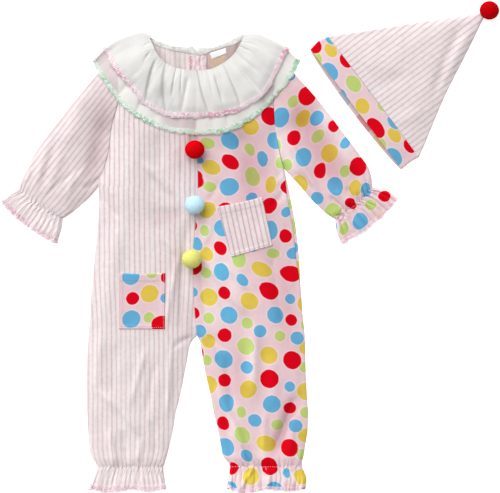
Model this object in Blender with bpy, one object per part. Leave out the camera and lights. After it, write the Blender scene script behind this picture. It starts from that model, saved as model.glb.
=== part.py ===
"""A baby's clown romper and its pointed hat, laid flat on their backs.

The romper's back panels rest on the table and its front panels lie on them. The collar's
two ruffled tiers run right round the neck, so each one folds over at the shoulders, and
its back half lies flat under the back yoke. The hat lies beside the romper.

Every named size and table here is in millimetres: x to the right, y up the garment and
z off the table, from the middle of the set. The mesh is made in metres.
"""

import math
from collections import namedtuple

import bmesh
import bpy
from mathutils import Vector
from mathutils.bvhtree import BVHTree

MM = 0.001

# Cloth and seams
CLOTH = 1.2
COLLAR_CLOTH = 1.1
GAP = 0.3
TUCKED = 2 * (COLLAR_CLOTH + GAP)  # the two tiers that lie under the back yoke
ON_BACK = TUCKED + CLOTH + GAP  # what lies on the back panel's inner face at the neck

# The raised ground under the yoke: an ellipse about the neck, and the slope round it
YOKE_X, YOKE_Y = -74.2, 274.4
YOKE_HALF_WIDTH, YOKE_DEPTH = 186.0, 114.0
YOKE_SLOPE_END = 1.25

STRIPE_COLOUR = (0.86, 0.78, 0.79)
DOT_COLOUR = (0.87, 0.70, 0.74)
PLACKET_COLOUR = (0.86, 0.68, 0.72)
COLLAR_COLOUR = (0.86, 0.85, 0.84)
PINK_TRIM_COLOUR = (0.87, 0.55, 0.66)
GREEN_TRIM_COLOUR = (0.45, 0.75, 0.58)
LABEL_COLOUR = (0.9, 0.9, 0.9)

# Columns of the meshes
PANEL_COLUMNS = 12
BACK_COLUMNS = 6
LEG_GATHERS = 12
CUFF_GATHERS = 10
SLEEVE_COLUMNS = 8
UNDER_COLUMNS = 6
COLLAR_PLEATS = 16
COLUMNS_PER_PLEAT = 4

Edge = namedtuple("Edge", "x y")
Station = namedtuple("Station", "outer_rise middle_rise inner_rise gather")
Half = namedtuple("Half", "outer neck back_neck inseam tuck")
Fold = namedtuple("Fold", "start_x start_y end_x end_y width height")
Crossing = namedtuple("Crossing", "upper_x upper_y lower_x lower_y bow rise gather")
Row = namedtuple("Row", "marks upper lower")
Tier = namedtuple(
    "Tier", "outer_edge fold_share fold_inset back_width back_depth front_z back_z flute"
)

# The centre-front seam from the neck to the crotch, and the same line down the back
CENTRE_SEAM = [
    Edge(-74.2, 241.5), Edge(-74.2, 211.4), Edge(-74.2, 169.4), Edge(-73.5, 127.4),
    Edge(-72.8, 86.8), Edge(-73.5, 64.4), Edge(-77.0, 22.4), Edge(-79.8, -16.8),
    Edge(-79.1, -56.0), Edge(-77.0, -95.2), Edge(-74.2, -123.9),
]

# One row for each station of a front panel: how far its underside stands off the back
# panel at the outer edge, in the middle and at the inner edge, and how deep its gathers are
STATIONS = [
    Station(0.1, 0.4, 0.2, 0), Station(0.6, 1.2, 1.0, 0), Station(1.0, 1.8, 1.6, 0),
    Station(1.3, 2.2, 2.3, 0),
    # from the bottom of the neck down the centre seam
    Station(1.5, 2.6, 2.6, 0), Station(1.6, 2.8, 2.7, 0), Station(1.4, 3.2, 2.6, 0),
    Station(0.9, 3.4, 2.5, 0), Station(0.2, 3.4, 2.5, 0), Station(0.0, 3.4, 2.5, 0),
    Station(0.0, 3.5, 2.5, 0), Station(0.0, 3.5, 2.5, 0), Station(0.0, 3.5, 2.3, 0),
    Station(0.0, 3.5, 1.6, 0), Station(0.0, 3.3, 0.5, 0),
    # down the leg
    Station(0.0, 3.2, 0.0, 0), Station(0.0, 3.3, 0.0, 0), Station(0.0, 3.3, 0.0, 0),
    Station(0.0, 3.2, 0.0, 0), Station(0.0, 3.0, 0.0, 0), Station(0.0, 2.6, 0.0, 0.5),
    Station(0.0, 1.9, 0.0, 1.2), Station(0.0, 1.2, 0.0, 1.8), Station(0.0, 1.0, 0.0, 2.0),
    Station(0.0, 1.0, 0.0, 2.4), Station(0.0, 0.9, 0.0, 3.1), Station(0.0, 0.8, 0.0, 3.6),
]
ARMPIT_ROW = 8
HEM_RIPPLE = 3.0
EDGE_BLEND = 0.3  # share of a panel's width over which an edge's rise gives way to the middle's
ARMHOLE_GAP = 0.45

STRIPED = Half(
    outer=[
        # shoulder, then down the armhole to the armpit
        Edge(-184.8, 273.0), Edge(-182.7, 243.6), Edge(-183.4, 218.4), Edge(-184.8, 200.2),
        Edge(-189.0, 183.4), Edge(-193.2, 168.0), Edge(-197.4, 134.4), Edge(-203.0, 113.4),
        Edge(-212.1, 84.0),
        # side seam
        Edge(-211.4, 64.4), Edge(-214.2, 22.4), Edge(-217.7, -16.8), Edge(-221.2, -56.0),
        Edge(-224.0, -95.2), Edge(-226.1, -121.8),
        # leg, elastic and hem
        Edge(-226.8, -134.4), Edge(-228.9, -168.0), Edge(-229.6, -212.8),
        Edge(-228.2, -235.2), Edge(-226.8, -257.6), Edge(-225.4, -280.0),
        Edge(-221.9, -294.0), Edge(-215.6, -305.2), Edge(-214.2, -309.4),
        Edge(-217.7, -316.4), Edge(-222.6, -327.6), Edge(-226.8, -341.0),
    ],
    neck=[Edge(-141.4, 287.7), Edge(-128.1, 262.5), Edge(-114.8, 252.0), Edge(-98.0, 243.9)],
    back_neck=[Edge(-140.0, 289.5), Edge(-121.8, 281.5), Edge(-102.2, 276.0), Edge(-88.0, 275.0)],
    inseam=[
        Edge(-82.6, -134.4), Edge(-89.6, -168.0), Edge(-98.7, -212.8), Edge(-104.3, -235.2),
        Edge(-107.8, -257.6), Edge(-112.7, -280.0), Edge(-116.2, -294.0),
        Edge(-119.7, -305.2), Edge(-121.1, -309.4), Edge(-120.7, -316.4),
        Edge(-119.0, -327.6), Edge(-117.6, -340.6),
    ],
    tuck=0.0,
)
DOTTED = Half(
    outer=[
        Edge(30.8, 273.0), Edge(31.5, 243.6), Edge(32.6, 218.4), Edge(33.6, 193.2),
        Edge(34.3, 180.6), Edge(35.0, 168.0), Edge(38.5, 145.6), Edge(43.4, 120.4),
        Edge(54.6, 92.4),
        Edge(56.7, 68.6), Edge(64.4, 22.4), Edge(68.6, -16.8), Edge(70.7, -56.0),
        Edge(73.5, -95.2), Edge(76.3, -121.8),
        Edge(77.0, -134.4), Edge(77.7, -168.0), Edge(79.8, -212.8),
        Edge(81.2, -235.2), Edge(80.5, -257.6), Edge(77.0, -280.0),
        Edge(74.9, -294.0), Edge(72.8, -303.1), Edge(72.8, -308.0),
        Edge(75.6, -315.0), Edge(79.1, -326.2), Edge(77.7, -340.6),
    ],
    neck=[Edge(-6.3, 289.1), Edge(-17.5, 268.1), Edge(-33.6, 253.4), Edge(-55.3, 243.9)],
    back_neck=[Edge(-9.8, 292.5), Edge(-21.0, 287.5), Edge(-37.8, 280.5), Edge(-58.0, 275.0)],
    inseam=[
        Edge(-70.0, -134.4), Edge(-64.4, -168.0), Edge(-54.6, -212.8), Edge(-50.4, -235.2),
        Edge(-44.8, -257.6), Edge(-40.6, -280.0), Edge(-37.8, -294.0),
        Edge(-30.1, -303.8), Edge(-28.0, -308.0), Edge(-28.7, -315.0),
        Edge(-30.8, -326.2), Edge(-32.2, -340.6),
    ],
    tuck=4.0,  # the front's side seam lies this far inside the back's below the armpit
)
TUCKED_ROWS = range(9, 12)
BACK_NECK_BOTTOM = Edge(-74.2, 272.3)

# The largest soft folds of the front, each a ridge (or, with a height below 0, a trough)
FOLDS = [
    Fold(-84.0, 30.0, -97.0, -75.0, 7.0, 0.9),
    Fold(-150.0, 120.0, -165.0, -10.0, 10.0, 0.6),
    Fold(-190.0, -130.0, -196.0, -260.0, 9.0, 0.7),
    Fold(-140.0, -125.0, -150.0, -250.0, 8.0, -0.8),
    Fold(28.0, 130.0, 42.0, 10.0, 9.0, -0.8),
    Fold(20.0, -100.0, 30.0, -250.0, 10.0, 0.7),
    Fold(-20.0, -120.0, -8.0, -240.0, 8.0, -0.7),
]

# Each row crosses a sleeve from its upper fold to its lower one. bow is how far the middle
# of the crossing lies towards the cuff, rise how far the upper layer stands off the lower
STRIPED_SLEEVE = [
    Crossing(-219.8, 233.8, -213.6, 80.6, 0, 2.2, 0),
    Crossing(-256.2, 190.4, -223.0, 69.5, 0, 3.2, 0),
    Crossing(-291.2, 145.6, -238.0, 56.0, 0, 3.3, 0),
    Crossing(-310.0, 115.0, -248.5, 46.7, 2, 2.8, 0.6),
    Crossing(-318.5, 98.0, -255.5, 42.0, 4, 1.8, 1.4),
    Crossing(-323.0, 86.0, -260.5, 39.0, 5, 1.2, 2.0),
    Crossing(-324.1, 82.6, -261.8, 38.5, 5.5, 1.0, 2.0),
    Crossing(-329.0, 79.6, -262.3, 33.5, 5.5, 1.0, 2.4),
    Crossing(-336.0, 75.6, -263.9, 23.8, 6, 0.9, 3.1),
    Crossing(-348.0, 66.0, -269.5, 6.5, 6, 0.8, 3.6),
]
DOTTED_SLEEVE = [
    Crossing(55.0, 248.5, 57.2, 90.0, 0, 2.0, 0),
    Crossing(97.0, 202.0, 66.0, 82.0, 0, 3.2, 0),
    Crossing(131.6, 156.8, 84.0, 67.2, 0, 3.3, 0),
    Crossing(156.8, 123.2, 100.0, 51.5, 1, 2.8, 0.6),
    Crossing(166.5, 108.0, 108.5, 44.0, 2, 1.8, 1.4),
    Crossing(171.0, 87.5, 117.0, 38.6, 3, 1.2, 2.0),
    Crossing(171.2, 82.6, 119.0, 37.8, 3.5, 1.0, 2.0),
    Crossing(178.5, 80.8, 119.8, 32.0, 4, 1.0, 2.4),
    Crossing(190.4, 77.7, 121.1, 21.0, 5, 0.9, 3.1),
    Crossing(206.0, 69.0, 127.0, 5.0, 7, 0.8, 3.6),
]

# Collar. The neck edge of both tiers, the line they fold over at each shoulder, and the
# outer edges, all from the left shoulder round the front to the right one
NECK_EDGE = [
    Edge(-140.0, 290.5), Edge(-124.6, 263.9), Edge(-100.8, 249.2), Edge(-74.2, 245.0),
    Edge(-57.4, 247.1), Edge(-36.4, 256.2), Edge(-21.0, 270.2), Edge(-8.4, 292.6),
]
LEFT_FOLD = [
    Edge(-140.0, 290.5), Edge(-154.0, 292.0), Edge(-180.6, 286.0), Edge(-203.0, 273.6),
    Edge(-219.0, 258.3),
]
RIGHT_FOLD = [
    Edge(-8.4, 292.6), Edge(8.4, 291.4), Edge(25.2, 286.0), Edge(47.6, 275.0),
    Edge(69.2, 258.3),
]
BACK_NECK_EDGE = [
    Edge(-140.0, 290.5), Edge(-121.8, 280.5), Edge(-102.2, 275.0), Edge(-74.2, 271.0),
    Edge(-37.8, 279.5), Edge(-21.0, 286.5), Edge(-8.4, 292.6),
]
LOWER_TIER = Tier(
    outer_edge=[
        Edge(-219.0, 258.3), Edge(-213.5, 242.9), Edge(-202.3, 228.2), Edge(-186.2, 205.8),
        Edge(-170.8, 190.4), Edge(-152.6, 177.8), Edge(-133.0, 168.0), Edge(-110.6, 160.3),
        Edge(-81.2, 156.8), Edge(-48.3, 156.8), Edge(-25.9, 162.4), Edge(-4.2, 173.6),
        Edge(18.2, 190.4), Edge(34.3, 208.6), Edge(58.8, 237.3), Edge(67.2, 254.8),
        Edge(69.2, 258.3),
    ],
    fold_share=1.0, fold_inset=1.2, back_width=146.0, back_depth=86.0,
    front_z=6.2, back_z=1.4, flute=2.6,
)
UPPER_TIER = Tier(
    outer_edge=[
        Edge(-201.5, 274.5), Edge(-196.7, 259.0), Edge(-179.9, 235.2), Edge(-164.4, 219.8),
        Edge(-148.4, 201.6), Edge(-130.9, 190.4), Edge(-113.4, 183.4), Edge(-86.8, 182.6),
        Edge(-58.8, 183.4), Edge(-25.9, 188.2), Edge(-1.4, 199.4), Edge(21.0, 214.9),
        Edge(32.2, 232.4), Edge(40.6, 250.6), Edge(49.5, 268.8), Edge(52.0, 272.5),
    ],
    fold_share=0.76, fold_inset=0.0, back_width=128.0, back_depth=62.0,
    front_z=8.7, back_z=0.0, flute=3.2,
)
TRIM_SHARE = {"upper": 0.925, "lower": 0.945}  # where the cloth ends and its trim begins
TRIM_GAP_SHARE = 0.006
TIER_ROWS = [0.0, 0.16, 0.45, 0.75, 1.0]
TURN_STEPS = 5
BACK_STEPS = 7
BACK_SLIT = 2.6  # half the gap between the tiers' ends at the centre back
CALM = 0.1  # share of the front over which the flutes die away towards each shoulder
NECK_FLUTE = 0.45  # share of the flutes' depth that they have at the neck
FULL_FLUTE = 0.4  # share of the tier's width at which they reach all of it
FRONT_BLEND, BACK_BLEND = 0.15, 0.3  # how far the fold's own curve carries on into the tier
DRAPE_REACH = 9.0
DRAPE_GAP = 0.5
UNDER_COLLAR = ["body_front_striped", "body_front_dotted", "sleeve_striped", "sleeve_dotted"]

# Neck binding, with a notch where its two ends meet at the centre back
BindingRow = namedtuple("BindingRow", "upper_x upper_y lower_x lower_y")
BINDING = [
    BindingRow(-137.9, 291.0, -133.0, 281.4), BindingRow(-121.8, 284.8, -119.0, 275.8),
    BindingRow(-102.2, 279.4, -101.5, 271.6), BindingRow(-88.2, 278.9, -88.2, 269.2),
    BindingRow(-81.2, 280.0, -81.2, 267.8), BindingRow(-75.6, 274.4, -75.6, 266.8),
    BindingRow(-68.6, 278.6, -68.6, 266.7), BindingRow(-54.6, 277.8, -56.6, 270.8),
    BindingRow(-37.8, 283.6, -35.0, 278.0), BindingRow(-21.0, 291.2, -18.9, 282.6),
    BindingRow(-11.5, 295.8, -13.5, 286.3),
]
BINDING_THICK = 1.1

PLACKET_LEFT, PLACKET_RIGHT = -86.8, -60.2
PLACKET_TOP, PLACKET_BOTTOM = 266.0, 212.0
PLACKET_RIDGES = [0.0, 0.9, 0.1, 1.0, 0.1, 0.8, 0.0]
PLACKET_ROWS = 3

LABEL_CORNERS = [Edge(-56.3, 269.8), Edge(-34.0, 276.9), Edge(-31.9, 269.5), Edge(-53.3, 261.0)]
LABEL_THICK = 0.7

# Pockets: corners from the mouth's left end, round by the right
DOTTED_POCKET = [Edge(-183.4, -37.8), Edge(-118.3, -37.8), Edge(-119.0, -116.2), Edge(-183.4, -116.2)]
STRIPED_POCKET = [Edge(-45.6, 55.0), Edge(16.8, 68.6), Edge(31.5, 0.7), Edge(-26.2, -15.8)]
POCKET_CELLS = 5
POCKET_REACH = 7.0
POCKET_MOUTH_RISE = 1.0

# Pompoms
POMPOM_RADIUS = 14.4
POMPOM_LOCK = 3.0
POMPOM_FACET_DEPTH = 0.9  # how far the middle of a facet lies inside the core's sphere
POMPOM_FLATTEN = 0.9
POMPOM_FOOT = 0.7  # share of the radius within which it must clear what is under it
POMPOM_AROUND, POMPOM_DOWN = 10, 6
Pompom = namedtuple("Pompom", "name x y colour")
FRONT_POMPOMS = [
    Pompom("pompom_red", -77.0, 134.4, (0.58, 0.01, 0.02)),
    Pompom("pompom_blue", -77.0, 57.4, (0.52, 0.74, 0.90)),
    Pompom("pompom_yellow", -81.2, -18.2, (0.80, 0.78, 0.25)),
]
HAT_POMPOM = Pompom("hat_pompom", 334.2, 329.0, (0.58, 0.01, 0.02))

# Hat: crossings from the band's seam to the tip, then from the same seam to the brim
HAT_CONE = [
    Crossing(109.5, 293.2, 236.4, 124.8, 0, 2.0, 0),
    Crossing(122.0, 295.3, 241.8, 136.3, 0, 2.6, 0),
    Crossing(162.4, 301.6, 254.6, 163.5, 0, 3.2, 0),
    Crossing(215.6, 310.0, 277.4, 211.8, 0, 3.0, 0),
    Crossing(268.8, 318.3, 300.1, 260.1, 0, 2.4, 0),
    Crossing(306.0, 324.1, 316.0, 293.9, 0, 1.2, 0),
    Crossing(318.5, 325.6, 323.0, 316.0, 0, 0.1, 0),
]
HAT_BAND = [
    Crossing(109.2, 293.0, 236.1, 124.5, 0, 2.0, 0),
    Crossing(97.6, 288.0, 224.6, 117.4, 0, 2.8, 0),
    Crossing(84.5, 275.3, 211.9, 107.3, 0, 3.2, 0),
]
HAT_UNDER_REACH = 3.6  # how far the brim's under layer shows beyond the upper one
HAT_COLUMNS = 10

# Folded edges of the tubes
FOLD_OUTER_INSET = 0.9
FOLD_INNER_INSET = 1.6
FOLD_WALL_INSET = 1.3
FOLD_MARK = 0.02
SHARP_ANGLE = math.radians(55)


def smoothstep(low, high, value):
    share = min(max((value - low) / (high - low), 0.0), 1.0)
    return share * share * (3 - 2 * share)


def mix(a, b, share):
    return a + (b - a) * share


def along(points, share):
    """The point at this share of the length of a line through the points."""
    steps = [math.dist(a, b) for a, b in zip(points, points[1:])]
    left = share * sum(steps)
    for (a, b), step in zip(zip(points, points[1:]), steps):
        if left <= step:
            return Edge(mix(a[0], b[0], left / step), mix(a[1], b[1], left / step))
        left -= step
    return Edge(points[-1][0], points[-1][1])


def table_top(x, y):
    return 0.0


def yoke_lift(x, y):
    """How far the collar's tucked back half raises what lies on it."""
    across = (x - YOKE_X) / YOKE_HALF_WIDTH
    down = min(y - YOKE_Y, 0.0) / YOKE_DEPTH
    return TUCKED * (1 - smoothstep(1.0, YOKE_SLOPE_END, math.hypot(across, down)))


def fold_height(x, y):
    height = 0.0
    for fold in FOLDS:
        run_x, run_y = fold.end_x - fold.start_x, fold.end_y - fold.start_y
        length = math.hypot(run_x, run_y)
        share = ((x - fold.start_x) * run_x + (y - fold.start_y) * run_y) / length**2
        off = ((x - fold.start_x) * run_y - (y - fold.start_y) * run_x) / length
        ends = smoothstep(0, 0.25, share) * smoothstep(0, 0.25, 1 - share)
        height += fold.height * ends * math.exp(-((off / fold.width) ** 2))
    return height


def bridge(bm, first, first_marks, second, second_marks):
    """Triangles between two lines of vertices, whose marks say how far along each lies."""
    i = j = 0
    while i < len(first) - 1 or j < len(second) - 1:
        first_next = first_marks[i + 1] if i < len(first) - 1 else math.inf
        second_next = second_marks[j + 1] if j < len(second) - 1 else math.inf
        if first_next <= second_next + 1e-6:
            bm.faces.new((first[i], first[i + 1], second[j]))
            i += 1
        else:
            bm.faces.new((first[i], second[j + 1], second[j]))
            j += 1


def new_object(name, bm, colour, roughness=0.85):
    bmesh.ops.recalc_face_normals(bm, faces=bm.faces)
    mesh = bpy.data.meshes.new(name)
    bm.to_mesh(mesh)
    bm.free()
    mesh.shade_smooth()
    mesh.set_sharp_from_angle(angle=SHARP_ANGLE)
    material = bpy.data.materials.new(name)
    material.use_nodes = True
    shader = material.node_tree.nodes["Principled BSDF"]
    shader.inputs["Base Color"].default_value = (*colour, 1)
    shader.inputs["Roughness"].default_value = roughness
    shader.inputs["Metallic"].default_value = 0
    mesh.materials.append(material)
    piece = bpy.data.objects.new(name, mesh)
    collection.objects.link(piece)
    return piece


def cloth_wall(name, colour, rows, tube=False):
    """A wall of cloth through rows of upper and lower points; a tube's rows close on themselves."""
    bm = bmesh.new()
    sides = []
    for row in rows:
        upper = [bm.verts.new(Vector(point) * MM) for point in row.upper]
        lower = [bm.verts.new(Vector(point) * MM) for point in row.lower]
        marks = list(row.marks)
        if tube:
            upper.append(upper[0])
            lower.append(lower[0])
            marks.append(1.0)
        sides.append((marks, upper, lower))
    for (marks, upper, lower), (next_marks, next_upper, next_lower) in zip(sides, sides[1:]):
        bridge(bm, upper, marks, next_upper, next_marks)
        bridge(bm, lower, marks, next_lower, next_marks)
        if not tube:
            for end in (0, -1):
                bridge(bm, [upper[end], next_upper[end]], [0, 1], [lower[end], next_lower[end]], [0, 1])
    for marks, upper, lower in (sides[0], sides[-1]):
        bridge(bm, upper, marks, lower, marks)
    return new_object(name, bm, colour)


def surface_of(pieces):
    points, faces = [], []
    for piece in pieces:
        start = len(points)
        points.extend(vertex.co.copy() for vertex in piece.data.vertices)
        faces.extend([start + index for index in face.vertices] for face in piece.data.polygons)
    return BVHTree.FromPolygons(points, faces)


def top_at(surface, x, y, reach, default):
    """The highest point of the surface within reach of a place."""
    highest = default
    places = [(0.0, 0.0)]
    for ring in (0.5, 1.0):
        for turn in range(8):
            angle = turn * math.pi / 4
            places.append((ring * reach * math.cos(angle), ring * reach * math.sin(angle)))
    for step_x, step_y in places:
        start = Vector((x + step_x, y + step_y, 100.0)) * MM
        hit = surface.ray_cast(start, Vector((0, 0, -1)))[0]
        if hit is not None:
            highest = max(highest, hit.z / MM)
    return highest


def raised(rise_outer, rise_middle, rise_inner, share):
    """Rise across a panel: its edges' own rises blend into the middle's."""
    from_outer = 1 - smoothstep(0, EDGE_BLEND, share)
    from_inner = 1 - smoothstep(0, EDGE_BLEND, 1 - share)
    return (
        rise_middle
        + (rise_outer - rise_middle) * from_outer
        + (rise_inner - rise_middle) * from_inner
    )


def panel_edges(half, front):
    """The outer and inner end of each row of a panel."""
    neck = half.neck if front else half.back_neck
    seam = list(CENTRE_SEAM)
    if not front:
        seam[0] = BACK_NECK_BOTTOM
    side = 1 if half is DOTTED else -1
    outer = list(half.outer)
    if front:
        for row in TUCKED_ROWS:
            outer[row] = Edge(outer[row].x - side * half.tuck, outer[row].y)
    inner = [Edge(point.x, point.y) for point in neck]
    inner += [Edge(point.x + side * GAP / 2, point.y) for point in seam]
    inner += half.inseam
    return list(zip(outer, inner))


def front_panel(name, half, colour):
    rows = []
    for row, ((outer, inner), station) in enumerate(zip(panel_edges(half, True), STATIONS)):
        columns = 2 * LEG_GATHERS if station.gather else PANEL_COLUMNS
        marks, upper, lower = [], [], []
        for column in range(columns + 1):
            share = column / columns
            x, y = mix(outer.x, inner.x, share), mix(outer.y, inner.y, share)
            wave = 0.5 - 0.5 * math.cos(2 * math.pi * LEG_GATHERS * share)
            if row == len(STATIONS) - 1:
                y += HEM_RIPPLE * (wave - 0.5)
            rise = raised(station.outer_rise, station.middle_rise, station.inner_rise, share)
            rise = max(rise + fold_height(x, y), 0.0)
            z = yoke_lift(x, y) + CLOTH + GAP + rise + station.gather * wave
            marks.append(share)
            lower.append((x, y, z))
            upper.append((x, y, z + CLOTH))
        rows.append(Row(marks, upper, lower))
    return cloth_wall(name, colour, rows)


def back_panel(name, half, colour):
    rows = []
    for outer, inner in panel_edges(half, False):
        marks = [column / BACK_COLUMNS for column in range(BACK_COLUMNS + 1)]
        lower = []
        for share in marks:
            x, y = mix(outer.x, inner.x, share), mix(outer.y, inner.y, share)
            lower.append((x, y, yoke_lift(x, y)))
        upper = [(x, y, z + CLOTH) for x, y, z in lower]
        rows.append(Row(marks, upper, lower))
    return cloth_wall(name, colour, rows)


def tube_row(place, width, floor_at, rise_at, columns, under_columns, under_reach=(0.0, 0.0)):
    """One ring of a flattened tube. place(share) is its point across, from fold to fold,
    floor_at(x, y) is what it lies on, and rise_at(share, x, y) is how far the upper layer
    stands off the lower one there."""
    outside, inside, marks = [], [], []

    def edge(share, inner_share, mark):
        x, y = place(share)
        z = floor_at(x, y) + CLOTH + GAP / 2
        outside.append((x, y, z))
        x, y = place(inner_share)
        inside.append((x, y, z))
        marks.append(mark)

    def layer(count, start_mark, upper):
        for column in range(count + 1):
            share = column / count
            across = share if upper else 1 - share
            shares = [
                mix(inset / width, 1 - inset / width, across)
                for inset in (FOLD_OUTER_INSET, FOLD_INNER_INSET)
            ]
            (x, y), (in_x, in_y) = (place(each) for each in shares)
            floor = floor_at(x, y)
            if upper:
                z = floor + CLOTH + GAP + rise_at(across, x, y)
                outside.append((x, y, z + CLOTH))
                inside.append((in_x, in_y, z))
            else:
                reach_x, reach_y = under_reach
                outside.append((x + reach_x, y + reach_y, floor))
                inside.append((in_x + reach_x, in_y + reach_y, floor + CLOTH))
            marks.append(mix(start_mark + FOLD_MARK, start_mark + 0.5 - FOLD_MARK, share))

    edge(0, FOLD_WALL_INSET / width, 0.0)
    layer(columns, 0.0, True)
    edge(1, 1 - FOLD_WALL_INSET / width, 0.5)
    layer(under_columns, 0.5, False)
    return Row(marks, outside, inside)


def crossing_row(crossing, outward, floor_at, columns, gathers=0, under_reach=(0.0, 0.0)):
    """A ring across a sleeve or the hat. outward is +1 or -1, the side that bow is on."""
    upper = Vector((crossing.upper_x, crossing.upper_y))
    lower = Vector((crossing.lower_x, crossing.lower_y))
    across = lower - upper
    normal = Vector((-across.y, across.x)).normalized() * outward

    def place(share):
        point = upper + across * share + normal * (crossing.bow * 4 * share * (1 - share))
        return point.x, point.y

    def rise_at(share, x, y):
        wave = 0.5 - 0.5 * math.cos(2 * math.pi * gathers * share)
        crown = smoothstep(0, EDGE_BLEND, share) * smoothstep(0, EDGE_BLEND, 1 - share)
        return max(crossing.rise * crown + fold_height(x, y), 0.0) + crossing.gather * wave

    return tube_row(
        place, across.length, floor_at, rise_at, columns, UNDER_COLUMNS, under_reach
    )


def armhole_row(half, side):
    """The sleeve's seam ring, a gap outside the body's armhole."""
    seam = half.outer[: ARMPIT_ROW + 1]
    last = len(seam) - 1

    def place(share):
        row = min(int(share * last), last - 1)
        part = share * last - row
        x = mix(seam[row].x, seam[row + 1].x, part)
        return x + side * ARMHOLE_GAP, mix(seam[row].y, seam[row + 1].y, part)

    def rise_at(share, x, y):
        row = min(int(share * last), last - 1)
        rises = STATIONS[row].outer_rise, STATIONS[row + 1].outer_rise
        return max(mix(*rises, share * last - row) + fold_height(x, y), 0.0)

    width = math.dist(seam[0], seam[-1])
    return tube_row(place, width, yoke_lift, rise_at, last, last)


def sleeve(name, half, crossings, side, colour):
    rows = [armhole_row(half, side)]
    for crossing in crossings:
        columns = 2 * CUFF_GATHERS if crossing.gather else SLEEVE_COLUMNS
        rows.append(crossing_row(crossing, side, yoke_lift, columns, CUFF_GATHERS))
    return cloth_wall(name, colour, rows, tube=True)


def tier_column(tier, kind, place, surface):
    """One column of a collar tier, as a function from the share of its width to the middle
    of the cloth and the direction of its thickness."""
    folds = {"left": LEFT_FOLD, "right": RIGHT_FOLD}
    front_z = tier.front_z + COLLAR_CLOTH / 2
    back_z = tier.back_z + COLLAR_CLOTH / 2
    radius, middle_z = (front_z - back_z) / 2, (front_z + back_z) / 2
    up, down = Vector((0, 0, 1)), Vector((0, 0, -1))

    def outward_at(side, share):
        ahead = Vector(along(folds[side], min(share + 0.05, 1.0) * tier.fold_share))
        behind = Vector(along(folds[side], max(share - 0.05, 0.0) * tier.fold_share))
        run = ahead - behind
        outward = Vector((-run.y, run.x)).normalized()
        return outward if outward.y > 0 else -outward

    def on_fold(side, share):
        point = Vector(along(folds[side], share * tier.fold_share))
        return point - outward_at(side, share) * tier.fold_inset

    def front(share):
        start, end = along(NECK_EDGE, place), along(tier.outer_edge, place)
        point = Vector(start).lerp(Vector(end), share)
        for side, near in (("left", place), ("right", 1 - place)):
            fold = on_fold(side, share)
            chord = on_fold(side, 0).lerp(on_fold(side, 1), share)
            point += (fold - chord) * (1 - smoothstep(0, FRONT_BLEND, near))
        calm = smoothstep(0, CALM, place) * smoothstep(0, CALM, 1 - place)
        depth = tier.flute * calm * mix(NECK_FLUTE, 1.0, smoothstep(0, FULL_FLUTE, share))
        flute = depth * (0.5 - 0.5 * math.cos(2 * math.pi * COLLAR_PLEATS * place))
        base = tier.front_z
        if calm > 0:
            base = top_at(surface, point.x, point.y, DRAPE_REACH, base - DRAPE_GAP) + DRAPE_GAP
        return Vector((point.x, point.y, base + COLLAR_CLOTH / 2 + flute)), up

    def turn(side, angle, share):
        point = on_fold(side, share)
        outward = outward_at(side, share)
        flat = outward * radius * math.sin(angle)
        centre = Vector((point.x + flat.x, point.y + flat.y, middle_z + radius * math.cos(angle)))
        way = Vector((outward.x * math.sin(angle), outward.y * math.sin(angle), math.cos(angle)))
        return centre, way

    def back(side, share):
        way = -1 if side == "left" else 1
        fold_end = on_fold(side, 1)
        rise = max(min((YOKE_Y - fold_end.y) / tier.back_depth, 1.0), 0.0)
        angle = mix(math.asin(rise), math.pi / 2, place)
        end = Vector((
            YOKE_X + way * tier.back_width * math.cos(angle),
            YOKE_Y - tier.back_depth * math.sin(angle),
        ))
        first = Vector((
            YOKE_X + way * tier.back_width * math.cos(math.asin(rise)),
            YOKE_Y - tier.back_depth * rise,
        ))
        end += (fold_end - first) * (1 - place)
        neck_share = place / 2 if side == "left" else 1 - place / 2
        start = Vector(along(BACK_NECK_EDGE, neck_share))
        slit = way * BACK_SLIT * place
        point = (start + Vector((slit, 0))).lerp(end + Vector((slit, 0)), share)
        fold = on_fold(side, share)
        chord = on_fold(side, 0).lerp(fold_end, share)
        point += (fold - chord) * (1 - smoothstep(0, BACK_BLEND, place))
        return Vector((point.x, point.y, back_z)), down

    if kind == "front":
        return front
    if kind[0] == "turn":
        return lambda share: turn(kind[1], place, share)
    return lambda share: back(kind[1], share)


def tier_columns(tier, surface):
    """Every column of a tier, from one end at the centre back round to the other."""
    columns = []
    for step in range(BACK_STEPS, 0, -1):
        columns.append(tier_column(tier, ("back", "left"), step / BACK_STEPS, surface))
    for step in range(TURN_STEPS, 0, -1):
        angle = math.pi * step / TURN_STEPS
        columns.append(tier_column(tier, ("turn", "left"), angle, surface))
    count = COLLAR_PLEATS * COLUMNS_PER_PLEAT
    for step in range(count + 1):
        columns.append(tier_column(tier, "front", step / count, surface))
    for step in range(1, TURN_STEPS + 1):
        angle = math.pi * step / TURN_STEPS
        columns.append(tier_column(tier, ("turn", "right"), angle, surface))
    for step in range(1, BACK_STEPS + 1):
        columns.append(tier_column(tier, ("back", "right"), step / BACK_STEPS, surface))
    return columns


def tier_strip(name, columns, shares, colour):
    """The part of a tier between the first and last of the given shares of its width."""
    marks = [index / (len(columns) - 1) for index in range(len(columns))]
    rows = []
    for share in shares:
        upper, lower = [], []
        for column in columns:
            centre, way = column(share)
            half = way * COLLAR_CLOTH / 2
            upper.append(centre + half)
            lower.append(centre - half)
        rows.append(Row(marks, upper, lower))
    return cloth_wall(name, colour, rows)


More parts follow.
